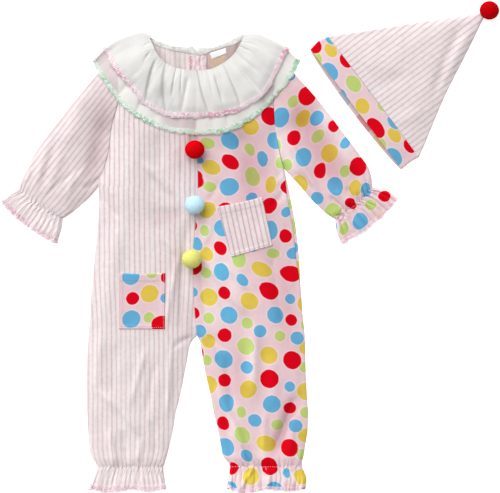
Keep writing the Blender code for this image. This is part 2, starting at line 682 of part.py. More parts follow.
def collar():
    """Lower tier and its trim, then the upper tier and its trim on top of them."""
    below = [bpy.data.objects[name] for name in UNDER_COLLAR]
    pieces = []
    for size, tier, trim_name, trim_colour in (
        ("lower", LOWER_TIER, "trim_green", GREEN_TRIM_COLOUR),
        ("upper", UPPER_TIER, "trim_pink", PINK_TRIM_COLOUR),
    ):
        columns = tier_columns(tier, surface_of(below + pieces))
        cloth_end = TRIM_SHARE[size]
        shares = [share * cloth_end for share in TIER_ROWS]
        pieces.append(tier_strip(f"collar_{size}", columns, shares, COLLAR_COLOUR))
        trim_shares = (cloth_end + TRIM_GAP_SHARE, 1.0)
        pieces.append(tier_strip(trim_name, columns, trim_shares, trim_colour))


def neck_binding():
    rows = []
    for row in BINDING:
        lower = [(row.upper_x, row.upper_y, ON_BACK), (row.lower_x, row.lower_y, ON_BACK)]
        upper = [(x, y, z + BINDING_THICK) for x, y, z in lower]
        rows.append(Row([0, 1], upper, lower))
    return cloth_wall("neck_binding", COLLAR_COLOUR, rows)


def back_placket():
    count = len(PLACKET_RIDGES) - 1
    marks = [column / count for column in range(count + 1)]
    rows = []
    for row in range(PLACKET_ROWS + 1):
        y = mix(PLACKET_TOP, PLACKET_BOTTOM, row / PLACKET_ROWS)
        lower = [(mix(PLACKET_LEFT, PLACKET_RIGHT, mark), y, ON_BACK) for mark in marks]
        upper = [(x, y, z + CLOTH + ridge) for (x, y, z), ridge in zip(lower, PLACKET_RIDGES)]
        rows.append(Row(marks, upper, lower))
    return cloth_wall("back_placket", PLACKET_COLOUR, rows)


def neck_label():
    left_top, right_top, right_low, left_low = LABEL_CORNERS
    rows = []
    for left, right in ((left_top, right_top), (left_low, right_low)):
        lower = [(left.x, left.y, ON_BACK), (right.x, right.y, ON_BACK)]
        upper = [(x, y, z + LABEL_THICK) for x, y, z in lower]
        rows.append(Row([0, 1], upper, lower))
    return cloth_wall("neck_label", LABEL_COLOUR, rows)


def patch_pocket(name, corners, panel, colour):
    """A patch made from the points of the panel under it, moved out."""
    surface = surface_of([panel])
    mouth_left, mouth_right, foot_right, foot_left = corners
    marks = [column / POCKET_CELLS for column in range(POCKET_CELLS + 1)]
    rows = []
    for down in marks:
        left = mix(mouth_left.x, foot_left.x, down), mix(mouth_left.y, foot_left.y, down)
        right = mix(mouth_right.x, foot_right.x, down), mix(mouth_right.y, foot_right.y, down)
        lower = []
        for across in marks:
            x, y = mix(left[0], right[0], across), mix(left[1], right[1], across)
            mouth = (1 - smoothstep(0, 0.3, down)) * math.sin(math.pi * across)
            z = top_at(surface, x, y, POCKET_REACH, 0) + GAP + POCKET_MOUTH_RISE * mouth
            lower.append((x, y, z))
        upper = [(x, y, z + CLOTH) for x, y, z in lower]
        rows.append(Row(marks, upper, lower))
    return cloth_wall(name, colour, rows)


def pompom(spec, under):
    """A ball of short locks, each a low pyramid, just clear of what is under it."""
    bm = bmesh.new()
    bmesh.ops.create_uvsphere(
        bm,
        u_segments=POMPOM_AROUND,
        v_segments=POMPOM_DOWN,
        radius=(POMPOM_RADIUS - POMPOM_LOCK) * MM,
    )
    bmesh.ops.poke(bm, faces=bm.faces[:], offset=(POMPOM_LOCK + POMPOM_FACET_DEPTH) * MM)
    bmesh.ops.scale(bm, vec=(1, 1, POMPOM_FLATTEN), verts=bm.verts[:])
    lowest = min(vertex.co.z for vertex in bm.verts)
    piece = new_object(spec.name, bm, spec.colour, roughness=0.95)
    ground = 0
    if under:
        reach = POMPOM_RADIUS * POMPOM_FOOT
        ground = top_at(surface_of(under), spec.x, spec.y, reach, 0)
    piece.location = (spec.x * MM, spec.y * MM, (ground + GAP) * MM - lowest)
    return piece


def hat():
    cone_rows = [crossing_row(crossing, 1, table_top, HAT_COLUMNS) for crossing in HAT_CONE]
    cloth_wall("hat_cone", STRIPE_COLOUR, cone_rows, tube=True)
    brim = Vector((HAT_BAND[-1].upper_x, HAT_BAND[-1].upper_y))
    seam = Vector((HAT_BAND[0].upper_x, HAT_BAND[0].upper_y))
    outward = (brim - seam).normalized() * HAT_UNDER_REACH
    band_rows = [crossing_row(crossing, 1, table_top, HAT_COLUMNS) for crossing in HAT_BAND[:-1]]
    brim_row = crossing_row(
        HAT_BAND[-1], 1, table_top, HAT_COLUMNS, under_reach=tuple(outward)
    )
    band_rows.append(brim_row)
    cloth_wall("hat_band", DOT_COLOUR, band_rows, tube=True)
    pompom(HAT_POMPOM, [])


for old in list(bpy.data.objects):
    bpy.data.objects.remove(old, do_unlink=True)
collection = bpy.data.collections.new("clown_costume")
bpy.context.scene.collection.children.link(collection)

back_panel("body_back_striped", STRIPED, STRIPE_COLOUR)
back_panel("body_back_dotted", DOTTED, DOT_COLOUR)
front_striped = front_panel("body_front_striped", STRIPED, STRIPE_COLOUR)
front_dotted = front_panel("body_front_dotted", DOTTED, DOT_COLOUR)
sleeve("sleeve_striped", STRIPED, STRIPED_SLEEVE, -1, STRIPE_COLOUR)
sleeve("sleeve_dotted", DOTTED, DOTTED_SLEEVE, 1, DOT_COLOUR)
neck_binding()
back_placket()
neck_label()
collar()
patch_pocket("pocket_dotted", DOTTED_POCKET, front_striped, DOT_COLOUR)
patch_pocket("pocket_striped", STRIPED_POCKET, front_dotted, STRIPE_COLOUR)
for pompom_spec in FRONT_POMPOMS:
    pompom(pompom_spec, [front_striped, front_dotted])
hat()
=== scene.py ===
"""The looks of a baby's clown romper and its pointed hat, laid flat on their backs.

Every piece of cloth is a thin shell on the form of its CAD node, with its creases, gathers,
seams and edgings. Named sizes and tables are in millimetres, in the CAD's own axes: x to the
right, y up the garment and z off the floor. Meshes are made in metres.
"""

import math
from collections import namedtuple

import bmesh
import bpy
import numpy as np
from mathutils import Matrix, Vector
from mathutils.bvhtree import BVHTree


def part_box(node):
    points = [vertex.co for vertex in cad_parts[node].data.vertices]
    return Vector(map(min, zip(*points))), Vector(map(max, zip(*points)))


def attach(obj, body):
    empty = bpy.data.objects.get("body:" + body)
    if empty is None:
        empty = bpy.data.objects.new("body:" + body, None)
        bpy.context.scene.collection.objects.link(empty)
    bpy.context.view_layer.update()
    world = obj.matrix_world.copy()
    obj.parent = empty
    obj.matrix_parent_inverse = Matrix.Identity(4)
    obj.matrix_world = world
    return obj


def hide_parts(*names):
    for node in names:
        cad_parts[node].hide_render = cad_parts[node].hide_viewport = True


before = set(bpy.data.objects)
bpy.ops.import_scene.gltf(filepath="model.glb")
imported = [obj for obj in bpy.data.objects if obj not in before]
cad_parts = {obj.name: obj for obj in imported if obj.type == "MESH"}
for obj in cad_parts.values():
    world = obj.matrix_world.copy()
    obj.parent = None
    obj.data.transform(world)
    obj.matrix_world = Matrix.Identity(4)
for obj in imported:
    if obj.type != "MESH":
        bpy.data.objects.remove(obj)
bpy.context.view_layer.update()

MM = 0.001

# ---------------------------------------------------------------- the CAD's own sizes
CLOTH = 1.2
COLLAR_CLOTH = 1.1
GAP = 0.3
TUCKED = 2 * (COLLAR_CLOTH + GAP)
YOKE_X, YOKE_Y = -74.2, 274.4
YOKE_HALF_WIDTH, YOKE_DEPTH = 186.0, 114.0
YOKE_SLOPE_END = 1.25
EDGE_BLEND = 0.3  # share of a width over which the cloth rises to its crown

Edge = namedtuple("Edge", "x y")
Station = namedtuple("Station", "outer_rise middle_rise inner_rise gather")
Half = namedtuple("Half", "side outer neck back_neck inseam tuck")
Crossing = namedtuple("Crossing", "upper_x upper_y lower_x lower_y bow rise gather")
Tier = namedtuple(
    "Tier", "outer_edge fold_share fold_inset back_width back_depth front_z back_z flute"
)


def rows_of(kind, rows):
    return [kind(*row) for row in rows]


CENTRE_SEAM = rows_of(Edge, [
    (-74.2, 241.5), (-74.2, 211.4), (-74.2, 169.4), (-73.5, 127.4), (-72.8, 86.8), (-73.5, 64.4),
    (-77, 22.4), (-79.8, -16.8), (-79.1, -56), (-77, -95.2), (-74.2, -123.9),
])
STATIONS = rows_of(Station, [
    (0.1, 0.4, 0.2, 0), (0.6, 1.2, 1, 0), (1, 1.8, 1.6, 0), (1.3, 2.2, 2.3, 0), (1.5, 2.6, 2.6, 0),
    (1.6, 2.8, 2.7, 0), (1.4, 3.2, 2.6, 0), (0.9, 3.4, 2.5, 0), (0.2, 3.4, 2.5, 0),
    (0, 3.4, 2.5, 0), (0, 3.5, 2.5, 0), (0, 3.5, 2.5, 0), (0, 3.5, 2.3, 0), (0, 3.5, 1.6, 0),
    (0, 3.3, 0.5, 0), (0, 3.2, 0, 0), (0, 3.3, 0, 0), (0, 3.3, 0, 0), (0, 3.2, 0, 0), (0, 3, 0, 0),
    (0, 2.6, 0, 0.5), (0, 1.9, 0, 1.2), (0, 1.2, 0, 1.8), (0, 1, 0, 2), (0, 1, 0, 2.4),
    (0, 0.9, 0, 3.1), (0, 0.8, 0, 3.6),
])
# rows of a panel, from the shoulder; from the cut row down the elastic draws the leg in
ARMPIT_ROW, CROTCH_ROW, LEG_CUT_ROW, LEG_ELASTIC_ROW = 8, 14, 20, 23
# the same rows of a sleeve, its armhole being row 0
SLEEVE_CUT_ROW, SLEEVE_ELASTIC_ROW = 4, 7

STRIPED = Half(
    side=-1,
    outer=rows_of(Edge, [
        (-184.8, 273), (-182.7, 243.6), (-183.4, 218.4), (-184.8, 200.2), (-189, 183.4),
        (-193.2, 168), (-197.4, 134.4), (-203, 113.4), (-212.1, 84), (-211.4, 64.4), (-214.2, 22.4),
        (-217.7, -16.8), (-221.2, -56), (-224, -95.2), (-226.1, -121.8), (-226.8, -134.4),
        (-228.9, -168), (-229.6, -212.8), (-228.2, -235.2), (-226.8, -257.6), (-225.4, -280),
        (-221.9, -294), (-215.6, -305.2), (-214.2, -309.4), (-217.7, -316.4), (-222.6, -327.6),
        (-226.8, -341),
    ]),
    neck=rows_of(Edge, [(-141.4, 287.7), (-128.1, 262.5), (-114.8, 252), (-98, 243.9)]),
    back_neck=rows_of(Edge, [(-140, 289.5), (-121.8, 281.5), (-102.2, 276), (-88, 275)]),
    inseam=rows_of(Edge, [
        (-82.6, -134.4), (-89.6, -168), (-98.7, -212.8), (-104.3, -235.2), (-107.8, -257.6),
        (-112.7, -280), (-116.2, -294), (-119.7, -305.2), (-121.1, -309.4), (-120.7, -316.4),
        (-119, -327.6), (-117.6, -340.6),
    ]),
    tuck=0.0,
)
DOTTED = Half(
    side=1,
    outer=rows_of(Edge, [
        (30.8, 273), (31.5, 243.6), (32.6, 218.4), (33.6, 193.2), (34.3, 180.6), (35, 168),
        (38.5, 145.6), (43.4, 120.4), (47.6, 108), (56.2, 68.6), (64.4, 22.4), (68.6, -16.8),
        (70.7, -56), (73.5, -95.2), (76.3, -121.8), (77, -134.4), (77.7, -168), (79.8, -212.8),
        (81.2, -235.2), (80.5, -257.6), (77, -280), (74.9, -294), (72.8, -303.1), (72.8, -308),
        (75.6, -315), (79.1, -326.2), (77.7, -340.6),
    ]),
    neck=rows_of(Edge, [(-6.3, 289.1), (-17.5, 268.1), (-33.6, 253.4), (-55.3, 243.9)]),
    back_neck=rows_of(Edge, [(-9.8, 292.5), (-21, 287.5), (-37.8, 280.5), (-58, 275)]),
    inseam=rows_of(Edge, [
        (-70, -134.4), (-64.4, -168), (-54.6, -212.8), (-50.4, -235.2), (-44.8, -257.6),
        (-40.6, -280), (-37.8, -294), (-30.1, -303.8), (-28, -308), (-28.7, -315), (-30.8, -326.2),
        (-32.2, -340.6),
    ]),
    tuck=4.0,
)
TUCKED_ROWS = range(9, 12)  # where the side seam of a half with a tuck lies further in
BACK_NECK_BOTTOM = Edge(-74.2, 272.3)

STRIPED_SLEEVE = rows_of(Crossing, [
    (-219.8, 233.8, -213.6, 80.6, 0, 2.2, 0), (-256.2, 190.4, -223, 69.5, 0, 3.2, 0),
    (-291.2, 145.6, -238, 56, 0, 3.3, 0), (-310, 115, -248.5, 46.7, 2, 2.8, 0.6),
    (-318.5, 98, -255.5, 42, 4, 1.8, 1.4), (-323, 86, -260.5, 39, 5, 1.2, 2),
    (-324.1, 82.6, -261.8, 38.5, 5.5, 1, 2), (-329, 79.6, -262.3, 33.5, 5.5, 1, 2.4),
    (-336, 75.6, -263.9, 23.8, 6, 0.9, 3.1), (-348, 66, -269.5, 6.5, 6, 0.8, 3.6),
])
DOTTED_SLEEVE = rows_of(Crossing, [
    (55, 248.5, 56.2, 99, 0, 2, 0), (97, 202, 69.5, 84.6, 0, 3.2, 0),
    (131.6, 156.8, 84, 67.2, 0, 3.3, 0), (156.8, 123.2, 100, 51.5, 1, 2.8, 0.6),
    (166.5, 108, 108.5, 44, 2, 1.8, 1.4), (171, 87.5, 117, 38.6, 3, 1.2, 2),
    (171.2, 82.6, 119, 37.8, 3.5, 1, 2), (178.5, 80.8, 119.8, 32, 4, 1, 2.4),
    (190.4, 77.7, 121.1, 21, 5, 0.9, 3.1), (206, 69, 127, 5, 7, 0.8, 3.6),
])

NECK_EDGE = rows_of(Edge, [
    (-140, 290.5), (-125.6, 262.6), (-101.6, 248.4), (-74.2, 245), (-57.4, 246.6), (-36.4, 256.2),
    (-21, 270.2), (-8.4, 292.6),
])
LEFT_FOLD = rows_of(Edge, [
    (-140, 290.5), (-152.5, 295.4), (-180.6, 286.6), (-203, 273.6), (-219, 258.3),
])
RIGHT_FOLD = rows_of(Edge, [
    (-8.4, 292.6), (6.4, 293.6), (25.2, 286.6), (47.6, 275), (69.2, 258.3),
])
BACK_NECK_EDGE = rows_of(Edge, [
    (-140, 290.5), (-121.8, 280.5), (-102.2, 275), (-74.2, 271), (-37.8, 279.5), (-21, 286.5),
    (-8.4, 292.6),
])
LOWER_TIER = Tier(
    outer_edge=rows_of(Edge, [
        (-219, 258.3), (-213.5, 242.9), (-202.3, 228.2), (-186.2, 205.8), (-170.8, 190.4),
        (-152.6, 177.8), (-133, 168), (-110.6, 160.3), (-81.2, 156.8), (-48.3, 156.8),
        (-25.9, 162.4), (-4.2, 173.6), (18.2, 190.4), (34.3, 208.6), (58.8, 237.3), (67.2, 254.8),
        (69.2, 258.3),
    ]),
    fold_share=1.0, fold_inset=1.2, back_width=146.0, back_depth=86.0,
    front_z=6.2, back_z=1.4, flute=3.0,
)
UPPER_TIER = Tier(
    outer_edge=rows_of(Edge, [
        (-201.5, 274.5), (-196.7, 259), (-179.9, 235.2), (-164.4, 219.8), (-149.4, 200.2),
        (-131.8, 188.4), (-113.6, 181), (-86.8, 179.6), (-58.6, 180.6), (-25.2, 185.6),
        (-0.4, 197.6), (21.8, 214.2), (32.6, 232.2), (41, 250.4), (49.8, 268.8), (52, 272.5),
    ]),
    fold_share=0.76, fold_inset=0.0, back_width=128.0, back_depth=62.0,
    front_z=8.7, back_z=0.0, flute=3.3,
)
TRIM_SHARE = {"upper": 0.908, "lower": 0.928}  # where a tier's trim begins, as a share of its width
COLLAR_COLUMNS = 65
COLLAR_ROWS = [0, 0.15, 0.42, 0.7, 0.93, 1]
BACK_SLIT = 2.6  # half the gap between a tier's ends at the centre back
CALM = 0.1  # the share of the way round beside a fold where a tier lies without flutes
NECK_FLUTE = 0.45  # the flutes' depth at the neck, as a share of their full depth
FULL_FLUTE = 0.4  # the share of a tier's width where they reach it
EDGE_WAVE = 1.2
EDGE_SETTLE, SETTLE_FROM = 0.85, 0.75  # how much flatter a tier lies at its outer edge
NECK_ROUND, EDGE_ROUND = 190.0, 430.0  # the way round a tier's front, at its two edges
NECK_GATHER, GATHER_LENGTH = 0.16, 0.16  # small puckers at the neck: height, share of the width
FINE_PUCKERS, FINER_PUCKERS = 61, 97  # how many of them go round the front
FRONT_BLEND, BACK_BLEND = 0.15, 0.3  # how far from a fold a tier follows its line
DRAPE_REACH = 5.0  # how far round a place a tier feels what it lies on
EDGE_DROP = 1.3  # how far a tier's outer edge may lie below its neck edge
DRAPE_GAP = 0.35
TIER_SHARES, TIER_PLACES, FOLD_STEPS, BACK_STEPS = 35, 361, 13, 42
TIER_OVERLAP = 0.012  # how far a tier's cloth runs on under its trim

BindingRow = namedtuple("BindingRow", "upper_x upper_y lower_x lower_y")
BINDING = rows_of(BindingRow, [
    (-144.5, 293.5, -139, 286), (-137.9, 291, -133, 281.4), (-121.8, 284.8, -119, 275.8),
    (-102.2, 279.4, -101.5, 271.6), (-88.2, 278.9, -88.2, 269.2), (-81.2, 280, -81.2, 267.8),
    (-75.6, 274.4, -75.6, 266.8), (-68.6, 278.6, -68.6, 266.7), (-54.6, 277.8, -56.6, 270.8),
    (-37.8, 283.6, -35, 278), (-21, 291.2, -18.9, 282.6), (-11.5, 295.8, -13.5, 286.3),
    (-5, 297, -8, 289.5),
])
BINDING_THICK, BINDING_WIDTH = 0.8, 10.5
BINDING_PUCKER, BINDING_PUCKER_PITCH = 0.16, 3.1
BINDING_STITCH, BINDING_STITCH_PLACE = 0.25, 0.82  # depth, and share of the way across
NECK_BED = 0.3  # how far the pieces in the neck are let into the back's cloth
PLACKET_LEFT, PLACKET_RIGHT = -86.8, -60.2
PLACKET_TOP, PLACKET_BOTTOM = 266.0, 212.0
PLACKET_RIDGES = [0.2, 0.9, 0.0, 1.0, 0.5, 0.9, 0.0, 1.0, 0.6, 0.2]
PLACKET_RIDGE, PLACKET_CRIMP, PLACKET_WOBBLE, PLACKET_ROLL = 1.1, 0.15, 0.9, 1.4
PLACKET_SEAMS = {3.0: 0.85, 17.5: 0.35}  # from its left edge, and how strong
ZIGZAG = 2.2
LABEL_CORNERS = rows_of(Edge, [(-56.3, 269.8), (-34.0, 276.9), (-31.9, 269.5), (-53.3, 261.0)])
LABEL_THICK, LABEL_WIDTH, LABEL_DEPTH = 0.7, 23, 8.5
LABEL_SWELL, LABEL_CURL, LABEL_GROOVE, LABEL_SEAM = 0.5, 0.35, 0.12, 1.3
DOTTED_POCKET = rows_of(Edge, [
    (-183.4, -37.8), (-118.3, -37.8), (-119.0, -116.2), (-183.4, -116.2),
])
STRIPED_POCKET = rows_of(Edge, [(-45.6, 55.0), (16.8, 68.6), (31.5, 0.7), (-26.2, -15.8)])

HAT_CONE = rows_of(Crossing, [
    (109.5, 293.2, 236.4, 124.8, 0, 2, 0), (122, 295.3, 241.8, 136.3, 0, 2.6, 0),
    (162.4, 301.6, 253, 163.5, 0, 3.2, 0), (215.6, 310, 273.6, 211.8, 0, 3, 0),
    (268.8, 318.3, 298, 260.1, 0, 2.4, 0), (306, 324.1, 315, 293.9, 0, 1.4, 0),
    (320.5, 326.2, 325.5, 315.8, 0, 0.8, 0), (323.6, 325.2, 327, 318.4, 0, 0.3, 0),
])
HAT_BAND = rows_of(Crossing, [
    (109.2, 293, 236.1, 124.5, 0, 2, 0), (97.6, 288, 224.6, 117.4, 0, 2.8, 0),
    (84.5, 275.3, 211.9, 107.3, 0, 3.2, 0),
])
HAT_UNDER_REACH = 6.2  # how far the brim's under layer shows past the upper one
HAT_STRIPE_RUN = (0.80, 0.60)

# ---------------------------------------------------------------- creases and gathers
# A soft ridge, or with a height below 0 a trough, that dies away at both ends. bow is how
# far its middle lies to the right of the straight line from start to end
Crease = namedtuple("Crease", "start_x start_y end_x end_y width height bow")
CREASE_ENDS = 0.3  # the share of its length over which it dies away
STRIPED_CREASES = rows_of(Crease, [
    # the crown down the outer side, and on across the leg to the elastic
    (-163, 186, -176, 26, 27, 4.6, 0), (-178, 60, -206, -120, 12, 2.4, 0),
    (-204, -108, -217, -216, 8, 2.2, 2), (-219, -196, -143, -278, 6, 3.2, -5),
    (-198, -252, -187, -312, 4.6, 2.2, 0), (-178, -256, -171, -308, 4.4, -1.8, 0),
    (-150, -264, -158, -304, 4, 1.4, 0),
    # drawn towards the pompoms
    (-155, 120, -103, 65, 5.6, 2.5, -3), (-147, 102, -106, 58, 6.5, -1.3, -2),
    (-148, 44, -83, 46, 7.5, -1.5, 0), (-132, 22, -92, -14, 5, 1.1, 3),
    # beside the centre seam
    (-87, 42, -96, -142, 5.5, -2.6, 3), (-94, 4, -119, -126, 5, 2.2, 3),
    (-79, 166, -81, 106, 7, -2.2, 0), (-104, 150, -100, 100, 5, 1.1, 0),
    (-130, 164, -122, 108, 6, -1.2, 0),
    # from the armpit and under the collar
    (-214, 80, -178, 36, 4.5, -1.6, 3), (-210, 96, -186, 66, 4, 1.1, 2),
    (-196, 190, -202, 96, 5, -1.3, -3),
    # down the leg
    (-110, -130, -116, -248, 3.8, 2.1, 0), (-142, -136, -168, -230, 5, 1.9, 2),
    (-76, -124, -112, -148, 4, -1.4, 3), (-128, -150, -146, -248, 5.5, -1.6, 2),
    (-184, -128, -192, -216, 8, -1.5, 2), (-136, -240, -131, -300, 5, -1.3, 0),
])
DOTTED_CREASES = rows_of(Crease, [
    # across from the centre seam
    (-68, -12, -2, -102, 6.2, 3.9, 0), (-40, -20, 0, -64, 4, 1.7, 0),
    (-70, -34, -60, -114, 4.5, -1.9, 0), (-46, -60, -30, -110, 5, -1.2, 0),
    (-66, 58, -40, 94, 5.5, -1.3, 3), (-66, 0, -52, 44, 5, 1.1, 2),
    # hollows of the breast and the hip
    (-22, 176, 20, 62, 16, -5.2, 0), (28, 14, 60, -140, 14, -5.2, 0), (46, 178, 46, 96, 8, 4, 0),
    (8, 140, 26, 70, 5, 1.2, 0), (58, 90, 24, 52, 4.5, -1.6, -3), (54, 108, 30, 82, 4, 1.1, -2),
    # down the leg
    (-70, -116, -46, -164, 3.8, 1.8, -2), (-55, -188, 3, -314, 6, 4.4, -3),
    (7, -100, 3, -220, 9, 4.2, 0), (-34, -146, -22, -236, 7, -3.2, 0),
    (71, -198, 30, -306, 9, -4.8, 0), (22, -226, 18, -292, 5, 1.6, 0),
    (-66, -122, -30, -152, 4, -1.4, -3), (60, -230, 56, -300, 5, 1.7, 0),
    (-38, -232, -26, -304, 4.5, -1.6, -2), (30, -150, 36, -230, 8, 2.2, 0),
    (-13, -274, 5, -311, 2.4, -2.6, 0), (7, -306, -18, -346, 3.2, 2.6, 0),
    (44, -304, 64, -344, 3, 2.2, 0), (30, -306, 24, -346, 3.4, 1.6, 0),
])
STRIPED_SLEEVE_CREASES = rows_of(Crease, [
    (-228, 226, -260, 130, 12, 2.4, 0), (-204, 188, -230, 88, 12, -3.2, -5),
    (-277, 160, -303, 74, 6, 1.4, 0), (-268, 150, -296, 76, 4.6, -1, 0),
    (-258, 142, -287, 64, 6, 1.4, 0), (-232, 112, -294, 60, 3.6, -1, 3),
    (-244, 110, -254, 78, 4.4, 1.3, 0), (-204, 97, -234, 75, 3.8, -1.5, 2),
    (-222, 120, -262, 60, 4, 1.1, 2), (-306, 112, -314, 88, 3.4, 1.2, 0),
])
DOTTED_SLEEVE_CREASES = rows_of(Crease, [
    (92, 192, 152, 90, 9, 5.4, 0), (60, 200, 122, 66, 12, -4.8, 3), (47, 166, 104, 62, 5.4, 3.6, 3),
    (158, 106, 169, 80, 3.4, -1.8, 0), (110, 72, 133, 48, 2.8, -2.4, 0),
    (118, 80, 141, 54, 3.4, 1.8, 0), (62, 104, 92, 74, 4, -1.5, -2),
    (134, 84, 152, 58, 3.2, -1.7, 0),
])
# Broad bands of painted shade, darkening the cloth to a deeper pink in the hollows between its
# folds, and of painted highlight, paling it where it stands out; height is how much, 1 being the most
# shade and -1 the most highlight
STRIPED_SHADE_BANDS = rows_of(Crease, [
    (-165, 182, -174, -44, 15, -0.55, 0), (-216, 168, -213, 96, 9, 0.8, 0),
    (-106, 142, -102, 104, 10, 0.5, 0), (-146, 32, -84, 48, 9, 0.8, 0),
    (-104, 12, -106, -50, 9, 0.55, 0), (-92, -60, -88, -140, 8, 0.55, 0),
    (-120, -46, -120, -90, 6, 0.5, 0), (-102, -200, -116, -296, 9, -0.5, 0),
    (-186, -226, -162, -272, 8, -0.5, 0), (-214, -222, -212, -304, 8, 0.3, 0),
])
DOTTED_SHADE_BANDS = rows_of(Crease, [
    (0, 182, 12, -34, 20, 1.1, 0), (45, 176, 48, 48, 8, -0.95, 0),
    (-52, 70, -48, -140, 13, -0.55, 0), (-28, 56, -22, -118, 12, -0.5, 0),
    (44, 4, 58, -164, 13, 0.65, 0), (-18, -128, -18, -226, 12, 0.45, 0),
    (4, -126, 4, -208, 8, -0.5, 0), (-26, -226, -24, -276, 8, -0.5, 0),
    (64, -204, 31, -304, 11, 0.9, 0), (17, -264, 17, -306, 6, -0.5, 0),
    (-48, -324, 96, -324, 13, -0.4, 0),
])
STRIPED_SLEEVE_SHADE_BANDS = rows_of(Crease, [
    (-205, 232, -230, 78, 16, 1, -8), (-352, 84, -248, 8, 15, -0.6, 0),
])
DOTTED_SLEEVE_SHADE_BANDS = rows_of(Crease, [
    (48, 236, 138, 56, 17, 1.15, 0), (88, 222, 154, 98, 8, -0.7, 0), (18, 182, 72, 94, 11, -0.6, 0),
])
# folds of the back that show inside the neck
NECK_CREASES = rows_of(Crease, [
    (-112, 292, -101, 236, 6.5, 3, 2), (-130, 290, -124, 250, 4, 1, 1),
    (-28, 286, -38, 248, 4, 1, 2), (-16, 290, -28, 258, 3, 1.2, 2),
])
HAT_CREASES = rows_of(Crease, [
    (302, 322, 252, 196, 7.5, -2.2, 3), (318, 318, 272, 226, 6, 1, 2),
    (284, 318, 300, 284, 7, -0.8, 0), (150, 262, 222, 250, 14, 1.1, 4),
    (196, 170, 250, 196, 9, 1.3, 3), (170, 214, 226, 240, 10, -1, -3),
])

# Creases drawn in by the elastic. place is the share of the way across, reach how far up
# the cloth one runs, and lean how far it moves across for each mm towards the hem
Gather = namedtuple("Gather", "place depth width reach lean")
STRIPED_LEG_GATHERS = rows_of(Gather, [
    (0.055, 0.27, 1.7, 14, 0.1), (0.14, 0.43, 1.5, 20, 0.16), (0.205, 0.27, 1.3, 10, 0.12),
    (0.262, 0.24, 1.4, 9, -0.05), (0.33, 0.43, 1.6, 22, -0.12), (0.4, 0.27, 1.4, 12, 0.04),
    (0.47, 0.24, 1.3, 10, 0.06), (0.545, 0.39, 1.5, 24, -0.04), (0.665, 0.43, 2, 34, -0.14),
    (0.735, 0.24, 1.4, 9, 0.05), (0.8, 0.31, 1.6, 16, 0.02), (0.87, 0.27, 1.4, 12, -0.06),
    (0.935, 0.35, 1.5, 18, -0.1),
])
DOTTED_LEG_GATHERS = rows_of(Gather, [
    (0.055, 0.43, 1.3, 12, 0.1), (0.11, 0.56, 1.5, 16, 0.08), (0.18, 0.43, 1.2, 9, 0.05),
    (0.235, 0.43, 1.2, 12, 0.02), (0.3, 0.62, 2, 32, 0.1), (0.365, 0.43, 1.2, 10, 0.06),
    (0.44, 0.5, 1.4, 14, -0.04), (0.58, 0.62, 1.7, 22, -0.08), (0.65, 0.43, 1.2, 10, 0.02),
    (0.745, 0.62, 1.6, 18, 0.08), (0.83, 0.5, 1.3, 12, -0.05), (0.89, 0.5, 1.2, 20, 0.04),
    (0.95, 0.5, 1.2, 14, -0.08),
])
STRIPED_CUFF_GATHERS = rows_of(Gather, [
    (0.07, 0.19, 1.5, 10, 0.04), (0.145, 0.22, 1.4, 14, 0.06), (0.215, 0.24, 1.4, 12, 0.02),
    (0.285, 0.24, 1.5, 16, -0.02), (0.355, 0.22, 1.3, 13, 0.05), (0.43, 0.32, 1.5, 18, 0.06),
    (0.5, 0.22, 1.3, 12, 0.02), (0.57, 0.32, 1.6, 20, -0.04), (0.65, 0.24, 1.5, 14, 0.03),
    (0.735, 0.26, 1.5, 22, -0.05), (0.82, 0.22, 1.5, 12, -0.06), (0.915, 0.19, 1.4, 16, -0.04),
])
DOTTED_CUFF_GATHERS = rows_of(Gather, [
    (0.06, 0.9, 1.2, 12, 0.03), (0.135, 0.8, 1.3, 16, 0.06), (0.23, 1, 1.7, 18, 0.04),
    (0.31, 0.7, 1.2, 10, -0.03), (0.385, 0.9, 1.4, 14, 0.05), (0.485, 1, 1.8, 16, 0.02),
    (0.6, 0.8, 1.4, 12, -0.05), (0.735, 1, 2.1, 30, -0.06), (0.82, 0.7, 1.2, 10, 0.02),
    (0.91, 0.9, 1.4, 14, -0.06),
])
PUCKER, PUCKER_ABOVE, PUCKER_BELOW = 0.40, 6.0, 13.0  # fine puckers either side of the elastic
PUCKER_WAVES, PUCKER_DRIFT = (3.1, 4.3, 6.1), 1.2
HOOK, HOOK_REACH = 3.0, 6.0  # how far the elastic draws the cloth sideways
HOOK_WAVES, HOOK_TURN = (8.5, 13.0, 21.0), 2.0
GATHER_SPREAD = 0.055  # how much wider a gather's crease gets for each mm from the elastic
GATHER_SHARPNESS, GATHER_FADE = 1.25, 1.4
PUFF, PUFF_PLACE, PUFF_LENGTH = 1.3, 11.0, 9.0  # cloth that swells above the elastic
ELASTIC_DIP, ELASTIC_HALF = 0.5, 2.5
HEM_LIFT, HEM_LIFT_LENGTH = 2.6, 26  # how much higher the hem stands than the elastic
GATHERED_ABOVE, GATHERED_BELOW, GATHERED_LENGTH = 1.15, 0.72, 12  # shares of the CAD's height
HEM_RIPPLE, HEM_RIPPLE_LENGTH = 2.4, 12.0
# how far a leg's hem lies above a straight line, at even shares across from its outer side
STRIPED_HEM = [3.6, 1.2, -1.6, -2.2, 0.6, 3.2, 1.0, -1.6, 1.0, 4.6]
DOTTED_HEM = [7.0, 1.2, 0.6, 1.6, 2.2, 1.4, -1.4, -2.6, -0.6, 6.0]

